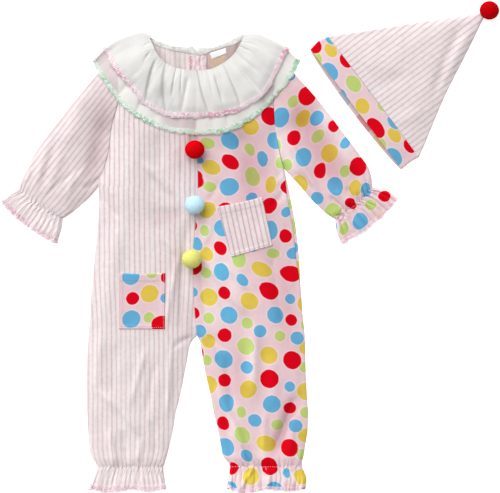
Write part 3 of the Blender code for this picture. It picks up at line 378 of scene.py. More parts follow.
# Grooves of a collar tier, from the neck edge to the outer edge. One begins and ends at
# shares of the way, and lean is from -1, steep on its right side, to 1, steep on its left
Groove = namedtuple("Groove", "neck_x edge_x depth width start end lean")
UPPER_GROOVES = rows_of(Groove, [
    (-139.5, -197, 0.45, 9, 0.1, 1, 0), (-137, -172, 0.6, 3, 0, 0.35, 0),
    (-133.5, -162, 0.65, 3.2, 0.05, 0.45, 0.3), (-128, -144.5, 1, 8, 0.05, 1, 0.8),
    (-117, -114, 0.95, 9.5, 0, 1, 0.75), (-102.5, -108, 0.7, 2.6, 0, 0.65, 0),
    (-94.5, -91, 0.75, 3.2, 0, 0.6, -0.3), (-84.5, -97, 0.85, 6.5, 0.1, 1, -0.3),
    (-73, -55, 1, 6.5, 0, 1, 0.85), (-60, -44, 0.5, 5, 0, 0.7, 0),
    (-53, -32, 1, 3.6, 0.1, 0.8, 0.6), (-46, -24, 0.45, 4, 0, 0.5, 0), (-38, -11, 1, 6, 0, 1, 0.85),
    (-28, 17, 1, 5.4, 0, 1, 0.8), (-21, 29, 0.7, 4, 0, 0.75, 0.5),
    (-15.4, 37, 0.9, 2.6, 0, 0.4, 0.3), (-12.4, 43, 0.8, 3, 0, 0.5, 0.3),
    (-10, 48.5, 0.45, 6, 0.1, 1, 0.2),
])
LOWER_GROOVES = rows_of(Groove, [
    (-137, -206, 0.4, 9, 0, 1, 0), (-131, -186, 0.6, 8, 0, 1, 0.3), (-122, -160, 0.8, 7, 0, 1, 0.6),
    (-112, -134, 0.5, 8, 0, 1, 0), (-98, -98, 0.8, 16, 0, 1, -0.8), (-66, -48, 0.5, 8, 0, 1, 0.4),
    (-52, -28, 0.8, 7, 0, 1, 0.7), (-34, 4, 0.5, 7, 0, 1, 0), (-25, 24, 0.9, 6, 0, 1, 0.7),
    (-16, 44, 0.5, 7, 0, 1, 0), (-12, 58, 0.5, 6, 0, 1, 0.3),
])
# broad swells of both tiers
COLLAR_CREASES = rows_of(Crease, [
    (-160, 276, -118, 204, 19, 1.8, 3), (-196, 270, -160, 222, 7, 1, 0),
    (-2, 268, 20, 200, 12, 1.2, -2),
])
GROOVE_EARLY, GROOVE_RISE, GROOVE_FALL = 0.02, 0.18, 0.3  # shares over which it begins and ends
GROOVE_SHARPNESS = 1.5
GROOVE_LEAN = 0.72  # how much narrower the steep side of a groove that leans fully is
GROOVE_NECK_WIDTH = 0.42  # a groove's width at the neck, as a share of its width at the edge

# ---------------------------------------------------------------- how the cloth is made up
WALL, COLLAR_WALL, BACK_WALL = 0.9, 0.7, 0.95  # thickness of the shells of cloth
LAYERED = 2 * CLOTH + GAP  # height of a front's cloth over the back that it lies on
ROW_STEP, FINE_ROW_STEP, BACK_ROW_STEP = 2.4, 1.1, 3.2
PANEL_COLUMNS, TUBE_COLUMNS, UNDER_COLUMNS, BACK_COLUMNS = 170, 130, 20, 60
PANEL_WIDTH = 150.0  # a panel's usual width, for its columns
INSIDE = 0.05  # share of a width beside an edge that small relief keeps clear of
UNEVEN = 0.5  # size of the low waves all over the cloth
BACK_TURNED = 7  # columns of a back that turn over at the side seam
BACK_EDGE, BACK_ROLL = 0.45, 1.2
SEAM_SIDE, SLEEVE_SIDE = 0.03, 0.06  # how far a piece keeps to its own side of a seam
EDGE_PLACES = [0.0, 0.3, 0.8, 1.5, 2.4, 3.6]  # where the columns beside an edge lie
SEAM_ROLL, SEAM_DROP = 2.6, 0.75
SIDE_ROLL, SIDE_TOP = 4.0, 1.35
LOFT, LOFT_EDGE, LOFT_ABOVE = 1.5, 0.12, 30.0  # air in the cloth, which the hollows press out
FOLD_ROLL, UNDER_ROLL = 3.4, 1.3

# ---------------------------------------------------------------- patterns
STRIPE_PITCH, STRIPE_WIDTH = 7.0, 1.7
SLEEVE_STRIPE_SCALE, HAT_STRIPE_SCALE = 1.03, 0.99  # how much finer the stripes lie there
TILE_WIDTH, TILE_HEIGHT = 135.8, 122.2
Dot = namedtuple("Dot", "x y size")
DOTS = {
    "yellow": rows_of(Dot, [
        (9.8, 3.1, 24.5), (9.8, 63.7, 19.6), (67.2, 1.6, 23.8), (93.8, 50.2, 23.8),
    ]),
    "green": rows_of(Dot, [
        (9.8, 95.9, 15.4), (7, 36.9, 14.7), (63, 92.7, 15.4), (61.6, 60.4, 23.8),
        (109.2, 77.9, 14.7),
    ]),
    "blue": rows_of(Dot, [
        (37.8, 102.1, 23.8), (30.8, 40, 24.9), (63, 31.1, 17.5), (102.2, 106.8, 23.1),
        (81.2, 82.9, 17.5), (123.2, 8.5, 14), (133, 76.8, 18.2),
    ]),
    "red": rows_of(Dot, [
        (32.2, 73.7, 19.3), (32.2, 10.7, 17.9), (95.2, 17.7, 25.2), (124.6, 101.4, 16.1),
        (126, 45.5, 25.2),
    ]),
}
# the share by which small folds draw in the striped leg, from where down, and about what line
LEG_FULLNESS, LEG_FULL_FROM, LEG_MIDDLE = 0.07, -30.0, -150.0
# Where the cloth of a piece lies on the dots' repeat
Lay = namedtuple("Lay", "x_by_x x_by_y x_shift y_by_x y_by_y y_shift")
BODY_LAY = Lay(1.0, 0.0, 67.2, 0.072, 1.0, 200.85)
BACK_LAY = Lay(1.0, 0.0, 139.8, 0.0, 1.0, 33.6)
SLEEVE_LAY = Lay(-0.7453, -0.5973, 171.4, 0.7361, -0.7005, 133.7)
BAND_LAY = Lay(0.56, -0.7253, 144.6, 1.0082, 0.7568, -257.25)
POCKET_LAY = Lay(-0.98, 0.109, -120.5, -0.0355, -1.01, 53.1)
# How far the cloth is eased sideways and up by the folds about a place, and over what reach
Pull = namedtuple("Pull", "x y move_x move_y reach")
BODY_PULLS = rows_of(Pull, [
    (22.8, -21.5, -6.6, -2.2, 32), (-12, 106.4, 9.4, -1.4, 32), (-41.4, 10.6, -1.9, -1.3, 32),
    (49.1, 30.8, -7.6, 0.9, 32), (15.4, 90.1, 0.9, -8, 32), (-1.3, -25.7, -9.8, -0.1, 32),
    (40.7, 1.2, -2, -6.4, 32), (-42.5, 82.4, 4.3, -2.3, 32), (-43.2, 25.2, -7.6, 1.2, 32),
    (20.9, -47.4, 1.9, 1.1, 32), (-74, 154, -7, 0, 14), (-69, 124, -7, -2, 9.5),
    (-70, 93, -5, 0, 9), (-74, 4, -3.5, 0, 9), (-75, -31, -4.5, 0, 9), (-35, 56, 1, -4, 12),
    (0.5, 70, 5, -3.5, 14), (18, 84, 4.5, 0, 10), (40, 85, -5, 0, 11), (-32, -311, 9, -2, 12),
    (-34, -281, 8, 0, 13), (58, -282, -7, 0.5, 12), (57.7, -318, -4, 2.5, 9),
    (-4, -292, 3, -1.5, 8), (77.7, -324, 0, 4, 10), (18, -274, -2.5, 0, 10),
    (8, -245, -6.3, -2.8, 42), (66, -251, -1.8, 0, 12), (34.7, -219, -2, -1.2, 13),
    (-5.6, -230, -2.6, 0, 11),
])
SLEEVE_PULLS = rows_of(Pull, [
    (132.2, 25.7, 1.6, 5.2, 38), (111.6, 103.3, -5.5, -3.6, 38), (107.9, 59, 6.6, 0.8, 38),
    (116.9, 166.7, 4.5, 2.6, 38), (59.5, 150, -3.3, -1.7, 38), (151.6, 69.5, -3.1, -2.4, 38),
    (79, 206, 3.2, 3.6, 19), (117.3, 140, -1.6, -3, 12), (105.3, 120, 1.6, 3, 12),
    (157, 118, -1.2, -2.2, 11), (147, 100, 1.2, 2.2, 11),
])
BAND_PULLS = [Pull(168, 181, -4.4, 3.6, 26)]
POCKET_PULLS = [Pull(-117, -107, 7, -2, 11)]


def smoothstep(low, high, value):
    share = np.clip((value - low) / (high - low), 0.0, 1.0)
    return share * share * (3 - 2 * share)


def mix(a, b, share):
    return a + (b - a) * share


def inward(reach, share):
    """0 at both ends of a width, and 1 where both are further than reach."""
    return smoothstep(0, reach, share) * smoothstep(0, reach, 1 - share)


def bell(value, width):
    return np.exp(-((value / width) ** 2))


def raised(plan, height):
    """Points from their places in plan and their heights."""
    return np.concatenate([plan, height[..., None]], -1)


def unit(vectors):
    return vectors / np.maximum(np.linalg.norm(vectors, axis=-1, keepdims=True), 1e-9)


def smooth_rows(marks, values, at):
    """A monotone cubic through rows of values at the marks, read at other marks."""
    marks = np.asarray(marks, float)
    values = np.asarray(values, float)
    shape = (-1,) + (1,) * (values.ndim - 1)
    step = np.diff(marks).reshape(shape)
    slope = np.diff(values, axis=0) / step
    before, after = slope[:-1], slope[1:]
    weight_before = 2 * step[1:] + step[:-1]
    weight_after = step[1:] + 2 * step[:-1]
    same_way = before * after > 0
    divisor = np.where(same_way, weight_before * after + weight_after * before, 1.0)
    tangent = np.zeros_like(values)
    tangent[1:-1] = np.where(
        same_way, (weight_before + weight_after) * before * after / divisor, 0.0
    )
    tangent[0], tangent[-1] = slope[0], slope[-1]
    cell = np.clip(np.searchsorted(marks, at, side="right") - 1, 0, len(marks) - 2)
    width = step[cell]
    part = (np.asarray(at, float) - marks[cell]).reshape(shape) / width
    return (
        values[cell] * (1 + 2 * part) * (1 - part) ** 2
        + values[cell + 1] * part**2 * (3 - 2 * part)
        + tangent[cell] * width * part * (1 - part) ** 2
        - tangent[cell + 1] * width * part**2 * (1 - part)
    )


def length_marks(points):
    """How far along a line through the points each one lies."""
    steps = np.linalg.norm(np.diff(np.asarray(points, float), axis=0), axis=-1)
    return np.concatenate([[0.0], np.cumsum(steps)])


def edge_waves(run, seed, size, waves=(11.0, 17.0, 29.0)):
    """Uneven waves along an edge."""
    rng = np.random.default_rng(seed)
    parts = [np.sin(run * 2 * math.pi / wave + rng.uniform(0, 6.3)) for wave in waves]
    return size * sum(parts) / len(waves)


class Line:
    """A smooth line through points, read by the share of its length."""

    def __init__(self, points):
        marks = length_marks(points)
        self.shares = np.linspace(0, 1, 600)
        self.points = smooth_rows(marks / marks[-1], points, self.shares)

    def at(self, share):
        share = np.asarray(share, float)
        return np.stack([np.interp(share, self.shares, self.points[:, k]) for k in (0, 1)], -1)

    def share_at_x(self, x):
        return float(np.interp(x, self.points[:, 0], self.shares))


def fine_marks(start, end, step):
    """Even marks about a step apart, an even number of steps."""
    count = 2 * max(round((end - start) / step / 2), 1)
    return np.linspace(start, end, count + 1)


def edged_shares(width, count):
    """Shares across a width, closer together beside both edges."""
    near = np.array(EDGE_PLACES) / width
    middle = np.linspace(near[-1], 1 - near[-1], count + 1)[1:-1]
    return np.concatenate([near, middle, 1 - near[::-1]])


def yoke_lift(x, y):
    across = (x - YOKE_X) / YOKE_HALF_WIDTH
    down = np.minimum(y - YOKE_Y, 0.0) / YOKE_DEPTH
    return TUCKED * (1 - smoothstep(1.0, YOKE_SLOPE_END, np.hypot(across, down)))


def crease_height(creases, x, y):
    height = np.zeros_like(x)
    for crease in creases:
        run_x, run_y = crease.end_x - crease.start_x, crease.end_y - crease.start_y
        length = math.hypot(run_x, run_y)
        share = ((x - crease.start_x) * run_x + (y - crease.start_y) * run_y) / length**2
        off = ((x - crease.start_x) * run_y - (y - crease.start_y) * run_x) / length
        off = off - crease.bow * 4 * share * (1 - share)
        height += crease.height * inward(CREASE_ENDS, share) * bell(off, crease.width)
    return height


def undulation(x, y, seed, size):
    """Low waves that no two places share."""
    rng = np.random.default_rng(seed)
    height = np.zeros_like(x)
    for _ in range(7):
        angle, wave, phase = rng.uniform(0, math.pi), rng.uniform(22, 70), rng.uniform(0, 6.3)
        height += np.sin((x * math.cos(angle) + y * math.sin(angle)) * 2 * math.pi / wave + phase)
    return size * height / 7


def gather_ridges(gathers, share, below, width):
    """1 on the cloth between the creases and 0 in them; below is how far, in mm, a row lies
    from the elastic towards the hem."""
    ridges = np.ones(np.broadcast(share, below).shape)
    for gather in gathers:
        fade = np.clip(1 + below / gather.reach, 0, 1) ** GATHER_FADE
        fade = np.where(below > 0, 1.0, fade)
        off = (share - gather.place) * width - gather.lean * below
        spread = gather.width * (1 + GATHER_SPREAD * np.abs(below))
        ridges -= gather.depth * fade * np.exp(-np.abs(off / spread) ** GATHER_SHARPNESS)
    return np.clip(ridges, 0, 1)


def swell(amount, below):
    """Height of the gathered cloth at a row: the CAD's own, less towards the hem, and a puff
    above the elastic."""
    lift = HEM_LIFT * smoothstep(0, HEM_LIFT_LENGTH, below)
    puff = PUFF * bell(below + PUFF_PLACE, PUFF_LENGTH)
    share = mix(GATHERED_ABOVE, GATHERED_BELOW, smoothstep(0, GATHERED_LENGTH, below))
    return lift + share * amount + puff


def elastic_dip(below):
    return ELASTIC_DIP * bell(below, ELASTIC_HALF)


def gathered(height, gathers, amount, share, below, width, seed):
    """Height of cloth that the elastic gathers, how far its ridges reach over the hem, from
    -0.5 to 0.5, and how far each place is drawn aside."""
    inside = inward(INSIDE, share)
    run = share * width
    ridges = gather_ridges(gathers, share, below, width)
    height = height + swell(amount, below) * ridges * inside
    height = height + (puckers(run, below, seed) - elastic_dip(below)) * inside
    return height, (ridges - 0.5) * inside, hooks(run, below, seed) * inside


def puckers(run, below, seed):
    """The fine uneven puckers that elastic draws cloth into, run being mm along a row."""
    rng = np.random.default_rng(seed)
    height = 0.0
    for wave in PUCKER_WAVES:
        phase, lean = rng.uniform(0, 6.3), rng.uniform(-0.25, 0.25)
        drift = PUCKER_DRIFT * np.sin(run / rng.uniform(9, 14) + phase)
        height = height + np.sin((run + lean * below) * 2 * math.pi / wave + phase + drift)
    reach = np.where(below < 0, PUCKER_ABOVE, PUCKER_BELOW)
    return PUCKER * height * bell(below, reach) / 2


def hooks(run, below, seed):
    """How far creases are drawn aside, one way above the elastic and the other below it."""
    rng = np.random.default_rng(seed + 5)
    aside = 0.0
    for wave in HOOK_WAVES:
        aside = aside + np.sin(run * 2 * math.pi / wave + rng.uniform(0, 6.3))
    return HOOK * aside * np.tanh(below / HOOK_TURN) * np.exp(-np.abs(below) / HOOK_REACH) / 1.7


def lofted(share, below):
    return LOFT * inward(LOFT_EDGE, share) * smoothstep(0, LOFT_ABOVE, -below)


def rolled(height, edge_height, distance, radius):
    """Height that falls in a quarter round to the edge's own within a radius of it."""
    part = np.clip(distance / radius, 0, 1)
    return edge_height + (height - edge_height) * np.sqrt(1 - (1 - part) ** 2)


def laid(points, lay):
    """Where points of the cut cloth fall on the dots' repeat."""
    x, y = points[..., 0], points[..., 1]
    across = lay.x_by_x * x + lay.x_by_y * y + lay.x_shift
    up = lay.y_by_x * x + lay.y_by_y * y + lay.y_shift
    return np.stack([across, up], -1)


def striped_lay(run_x, run_y, scale, x, y, first):
    """Stripes that run along a direction, the first one beside a point."""
    length = math.hypot(run_x, run_y)
    cosine, sine = scale * run_y / length, scale * run_x / length
    return Lay(cosine, -sine, first - cosine * x + sine * y, sine, cosine, 0.0)


def pulled(points, pulls):
    """Points of the cloth moved back to where they lay before they were eased."""
    eased = points.copy()
    for pull in pulls:
        away = (points[..., 0] - pull.x) ** 2 + (points[..., 1] - pull.y) ** 2
        near = np.exp(-away / pull.reach**2)
        eased[..., 0] -= pull.move_x * near
        eased[..., 1] -= pull.move_y * near
    return eased


# ---------------------------------------------------------------- meshes
Form = namedtuple("Form", "points faces cut side")  # side is 0 on the right side of the cloth


def grid_faces(index, around=False):
    if around:
        index = np.concatenate([index, index[:, :1]], axis=1)
    corners = [index[:-1, :-1], index[:-1, 1:], index[1:, 1:], index[1:, :-1]]
    return np.stack(corners, -1).reshape(-1, 4).tolist()


def rim_faces(fine, coarse):
    corners = [fine[:-1:2], fine[1::2], fine[2::2], coarse[1:], coarse[:-1]]
    return np.stack(corners, -1).tolist()


def grid_normals(points, outward, around=False):
    """Unit normals of a grid, on the side that outward is on."""
    padded = np.concatenate([points[:, -1:], points, points[:, :1]], 1) if around else points
    normal = np.cross(np.gradient(padded, axis=1), np.gradient(padded, axis=0))
    if around:
        normal = normal[:, 1:-1]
    normal = unit(normal)
    return normal if (normal * outward).sum() > 0 else -normal


def wall(top, under, cut, around=False):
    """A closed wall of cloth between a fine grid and an under grid half as fine."""
    rows, columns = top.shape[:2]
    fine = np.arange(rows * columns).reshape(rows, columns)
    coarse = rows * columns + np.arange(under.shape[0] * under.shape[1]).reshape(under.shape[:2])
    upper_faces = grid_faces(fine, around)
    under_faces = grid_faces(coarse, around)
    rims = []
    if around:
        fine = np.concatenate([fine, fine[:, :1]], 1)
        coarse = np.concatenate([coarse, coarse[:, :1]], 1)
    else:
        rims += rim_faces(fine[:, 0], coarse[:, 0]) + rim_faces(fine[:, -1], coarse[:, -1])
    rims += rim_faces(fine[0], coarse[0]) + rim_faces(fine[-1], coarse[-1])
    points = np.concatenate([top.reshape(-1, 3), under.reshape(-1, 3)])
    cuts = np.concatenate([cut.reshape(-1, 2), cut[::2, ::2].reshape(-1, 2)])
    side = [0] * len(upper_faces) + [1] * len(under_faces) + [0] * len(rims)
    return Form(points, upper_faces + under_faces + rims, cuts, side)


def joined(forms):
    points, faces, cuts, sides = [], [], [], []
    start = 0
    for form in forms:
        points.append(form.points)
        cuts.append(form.cut)
        faces += [[start + index for index in face] for face in form.faces]
        sides += list(form.side)
        start += len(form.points)
    return Form(np.concatenate(points), faces, np.concatenate(cuts), sides)


def new_piece(name, form, materials, slot, *nodes):
    """A piece of the scene, which replaces the CAD's nodes if any; its slot is not used."""
    mesh = bpy.data.meshes.new(name)
    points = np.maximum(form.points, [-1e4, -1e4, 0.0])
    mesh.from_pydata((points * MM).tolist(), [], form.faces)
    for material in materials:
        mesh.materials.append(material)
    mesh.polygons.foreach_set("material_index", np.minimum(form.side, len(materials) - 1))
    corner = np.empty(len(mesh.loops), np.int32)
    mesh.loops.foreach_get("vertex_index", corner)
    layer = mesh.uv_layers.new(name="cut")
    layer.data.foreach_set("uv", (form.cut[corner] * MM).astype(np.float32).ravel())
    work = bmesh.new()
    work.from_mesh(mesh)
    bmesh.ops.recalc_face_normals(work, faces=work.faces)
    work.to_mesh(mesh)
    work.free()
    mesh.shade_smooth()
    mesh.set_sharp_from_angle(angle=math.radians(60))
    piece = bpy.data.objects.new(name, mesh)
    bpy.context.scene.collection.objects.link(piece)
    if nodes:
        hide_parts(*nodes)
    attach(piece, "root")
    return piece


def tone(piece, bands):
    """Paints shade and highlight on a piece of cloth: notes at each point how much painted shade, up to
    1, or painted highlight, down to -1, the bands give there.
    """
    mesh = piece.data
    place = np.empty(len(mesh.vertices) * 3, np.float32)
    mesh.vertices.foreach_get("co", place)
    depth = np.clip(crease_height(bands, place[0::3] / MM, place[1::3] / MM), -1, 1)
    mesh.attributes.new("tone", "FLOAT", "POINT").data.foreach_set("value", depth.astype(np.float32))


def flat_size(grid, layers):
    """Width, length and area of the flat cloth that a grid was cut from, in metres, with its
    length the way that its rows follow each other."""
    way = grid[-1].mean(axis=0) - grid[0].mean(axis=0)
    way /= np.linalg.norm(way)
    along, across = grid @ way, grid @ np.array([way[1], -way[0]])
    width, length = np.ptp(across) * layers * MM, np.ptp(along) * MM
    one, other = grid[1:, 1:] - grid[:-1, :-1], grid[1:, :-1] - grid[:-1, 1:]
    area = np.abs(one[..., 0] * other[..., 1] - one[..., 1] * other[..., 0]).sum() / 2
    return width, length, min(area * layers * MM**2, width * length)


def note_sheet(piece, grid, held, rests_on, *going, layers=1):
    """Works out the flat size of the cloth that a sheet was cut from, and does not keep it."""
    flat_size(grid, layers)


# ---------------------------------------------------------------- small sewing
LOOP_CORNERS = (8, 5)  # round a loop of yarn, and round the yarn itself
LOOP_WIDTH = 0.66  # half a loop's width, as a share of the loops' pitch


def spaced(path, pitch, least, step):
    """Even places along a path: their number, a reader of lines at them, and the path's own
    points and run there."""
    marks = length_marks(path)
    count = max(int(marks[-1] / pitch), least)
    places = (np.arange(count) + 0.5) * marks[-1] / count

    def read(line, on=0.0):
        return np.stack([np.interp(places + on, marks, line[:, k]) for k in range(3)], -1)

    return count, read, read(path), read(path, step) - read(path, -step)


def yarn_loops(path, outward, pitch, reach, yarn, seed):
    """A row of little yarn loops along a path, each standing out from it."""
    rng = np.random.default_rng(seed)
    count, read, centre, run = spaced(path, pitch, 2, 0.5)
    out = unit(read(outward))
    run = unit(run - (run * out).sum(-1, keepdims=True) * out)
    up = np.cross(run, out)
    up *= np.sign(up[:, 2:3] + 1e-6)
    around, sides = LOOP_CORNERS
    turn = np.arange(around) * 2 * math.pi / around
    size = rng.uniform(0.8, 1.2, (count, 1, 1))
    tilt = rng.uniform(-0.25, 0.25, (count, 1, 1))
    half = LOOP_WIDTH * pitch * size
    sway = np.cos(turn)[None, :, None]
    rise = np.sin(turn)[None, :, None]
    ring = (
        centre[:, None]
        + run[:, None] * half * sway
        + out[:, None] * reach * 0.5 * size * (1 + rise)
        + up[:, None] * (tilt * half * sway + 0.35 * yarn * rise)
    )
    radial = run[:, None] * sway + out[:, None] * rise
    spin = np.arange(sides) * 2 * math.pi / sides
    points = (
        ring[:, :, None]
        + radial[:, :, None] * (yarn * np.cos(spin))[None, None, :, None]
        + up[:, None, None] * (yarn * np.sin(spin))[None, None, :, None]
    )
    index = np.arange(count * around * sides).reshape(count, around, sides)
    ahead_of = np.roll(index, -1, axis=1)
    corners = [index, ahead_of, np.roll(ahead_of, -1, axis=2), np.roll(index, -1, axis=2)]
    faces = np.stack(corners, -1).reshape(-1, 4).tolist()
    flat = points.reshape(-1, 3)
    return Form(flat, faces, flat[:, :2].copy(), [0] * len(faces))


def stitch_row(path, pitch, length, thick, seed):
    """A row of stitches on a path, each a low six-cornered bead of thread."""
    rng = np.random.default_rng(seed)
    count, _, centre, run = spaced(path, pitch, 1, 0.8)
    run = unit(run)
    side = unit(np.cross(run, [0, 0, 1.0]))
    rise = np.cross(side, run)
    half = 0.5 * length * rng.uniform(0.85, 1.1, (count, 1))
    corners = [run * half, side * thick, rise * thick, -side * thick, -rise * thick, -run * half]
    points = np.stack([centre + corner for corner in corners], 1)
    sides = [(1, 2), (2, 3), (3, 4), (4, 1)]
    local = [(0, a, b) for a, b in sides] + [(5, b, a) for a, b in sides]
    faces = (np.arange(count)[:, None, None] * 6 + np.array(local)).reshape(-1, 3).tolist()
    flat = points.reshape(-1, 3)
    return Form(flat, faces, flat[:, :2].copy(), [0] * len(faces))


def surface_of(grids):
    """What lies over or under something, as one surface from several grids."""
    points, faces = [], []
    for grid in grids:
        index = len(points) + np.arange(grid.shape[0] * grid.shape[1]).reshape(grid.shape[:2])
        points += grid.reshape(-1, 3).tolist()
        faces += grid_faces(index)
    return BVHTree.FromPolygons([Vector(point) for point in points], faces)


def heights_on(surface, x, y, default):
    """The surface's height under each place."""
    found = np.full(x.shape, default, float)
    down = Vector((0, 0, -1))
    for place in np.ndindex(x.shape):
        hit = surface.ray_cast(Vector((x[place], y[place], 200.0)), down)[0]
        if hit is not None:
            found[place] = hit.z
    return found


# ---------------------------------------------------------------- the romper's body
def panel_ends(half, front):
    """The outer and inner end of each row of a panel."""
    neck = half.neck if front else half.back_neck
    seam = list(CENTRE_SEAM)
    if not front:
        seam[0] = BACK_NECK_BOTTOM
    outer = [list(point) for point in half.outer]
    if front:
        for row in TUCKED_ROWS:
            outer[row][0] -= half.side * half.tuck
    inner = [list(point) for point in neck]
    inner += [[point.x + half.side * SEAM_SIDE, point.y] for point in seam]
    inner += [list(point) for point in half.inseam]
    return np.array(outer, float), np.array(inner, float)


def across_rows(marks, ends, at, share):
    """Both ends of each row at the marks, and the places across them, x and y."""
    first, last = (smooth_rows(marks, side, at) for side in ends)
    return first, last, *(mix(first[:, k : k + 1], last[:, k : k + 1], share) for k in (0, 1))


def cut_places(points, plan, share, start, end, cut_widths):
    """Where each point of a gathered grid lay in the flat cloth: its place in plan, moved
    along its row by its share of the row's length, over the width that the row was cut to."""
    steps = np.linalg.norm(np.diff(points, axis=1), axis=-1)
    run = np.concatenate([np.zeros((len(points), 1)), np.cumsum(steps, axis=1)], axis=1)
    along = run / run[:, -1:]
    across = end - start
    width = np.linalg.norm(across, axis=-1, keepdims=True)
    move = (along - share) * width + (along - 0.5) * (cut_widths[:, None] - width)
    return plan + (across / width)[:, None] * move[..., None]


def cut_widths(start, end, at, from_mark):
    """A row's own width above a mark, and below it what the cloth had there."""
    width = np.linalg.norm(end - start, axis=-1)
    held = float(np.interp(from_mark, at, width))
    return np.where(at > from_mark, np.maximum(width, held), width)


def front_panel(half, gathers, creases, hem, seed):
    """The fine grid of a front panel's outside, and where its points lay in the cut cloth."""
    ends = panel_ends(half, True)
    marks = length_marks(sum(ends) / 2)
    gather_mark = marks[LEG_CUT_ROW - 2]
    coarse_part = fine_marks(0, gather_mark, ROW_STEP)
    at = np.concatenate([coarse_part, fine_marks(gather_mark, marks[-1], FINE_ROW_STEP)[1:]])
    share = edged_shares(PANEL_WIDTH, PANEL_COLUMNS)[None]
    outer, inner, x, y = across_rows(marks, ends, at, share)
    station = smooth_rows(marks, STATIONS, at)[:, :, None]
    below = (at - marks[LEG_ELASTIC_ROW])[:, None]
    width = np.linalg.norm(inner - outer, axis=-1)[:, None]
    rise = (
        station[:, 1]
        + (station[:, 0] - station[:, 1]) * (1 - smoothstep(0, EDGE_BLEND, share))
        + (station[:, 2] - station[:, 1]) * (1 - smoothstep(0, EDGE_BLEND, 1 - share))
    )
    inside = inward(INSIDE, share)
    relief = crease_height(creases, x, y) + undulation(x, y, seed, UNEVEN) * inside
    floor = yoke_lift(x, y)
    height = floor + LAYERED + np.maximum(rise + lofted(share, below) + relief, 0.0)
    height, ripple, aside = gathered(height, gathers, station[:, 3], share, below, width, seed)
    near_hem = smoothstep(-HEM_RIPPLE_LENGTH, 0, at - at[-1])[:, None]
    hem_line = smooth_rows(np.linspace(0, 1, len(hem)), np.array(hem)[:, None], share[0])[:, 0]
    y = y + (HEM_RIPPLE * ripple + hem_line[None]) * near_hem
    x = x + aside
    from_outer, from_inner = share * width, (1 - share) * width
    side_edge = floor + SIDE_TOP
    on_side = at[:, None] > marks[ARMPIT_ROW]
    outer_edge = np.where(on_side, side_edge, height - SEAM_DROP)
    outer_radius = np.where(on_side, SIDE_ROLL, SEAM_ROLL)
    height = rolled(height, outer_edge, from_outer, outer_radius)
    on_leg = at[:, None] > marks[CROTCH_ROW]
    inner_edge = np.where(on_leg, side_edge, height - SEAM_DROP)
    height = rolled(height, inner_edge, from_inner, np.where(on_leg, SIDE_ROLL, SEAM_ROLL))
    top = np.stack([x, y, height], -1)
    widths = cut_widths(outer, inner, at, marks[LEG_CUT_ROW])
    plan = mix(outer[:, None], inner[:, None], share[..., None])
    return top, cut_places(top, plan, share, outer, inner, widths), at, marks


def panel_wall(top, cut):
    under = top[::2, ::2] - WALL * grid_normals(top, np.array([0, 0, 1.0]))[::2, ::2]
    lowest = yoke_lift(under[..., 0], under[..., 1]) + BACK_WALL + 0.05
    under[..., 2] = np.minimum(np.maximum(under[..., 2], lowest), top[::2, ::2, 2] - 0.15)
    return wall(top, under, cut)


def back_panel(half):
    ends = panel_ends(half, False)
    marks = length_marks(sum(ends) / 2)
    at = fine_marks(0, marks[-1], BACK_ROW_STEP)
    share = edged_shares(PANEL_WIDTH, BACK_COLUMNS)[None]
    outer, inner, x, y = across_rows(marks, ends, at, share)
    floor = yoke_lift(x, y)
    width = np.linalg.norm(inner - outer, axis=-1)[:, None]
    folds = np.maximum(crease_height(NECK_CREASES, x, y), 0.0)
    height = rolled(floor + BACK_WALL + folds, floor + BACK_EDGE, share * width, BACK_ROLL)
    top = np.stack([x, y, height], -1)
    under = np.stack([x, y, floor], -1)[::2, ::2]
    cut = np.stack([x, y], -1)
    form = wall(top, under, cut)
    # the wrong side is up, but for the cloth that turns over at the side seam
    upper = np.ones((top.shape[0] - 1, top.shape[1] - 1), int)
    upper[:, :BACK_TURNED] = 0
    sides = np.array(form.side)
    sides[: upper.size] = upper.ravel()
    sides[upper.size :] = 0
    return form._replace(side=sides.tolist()), cut


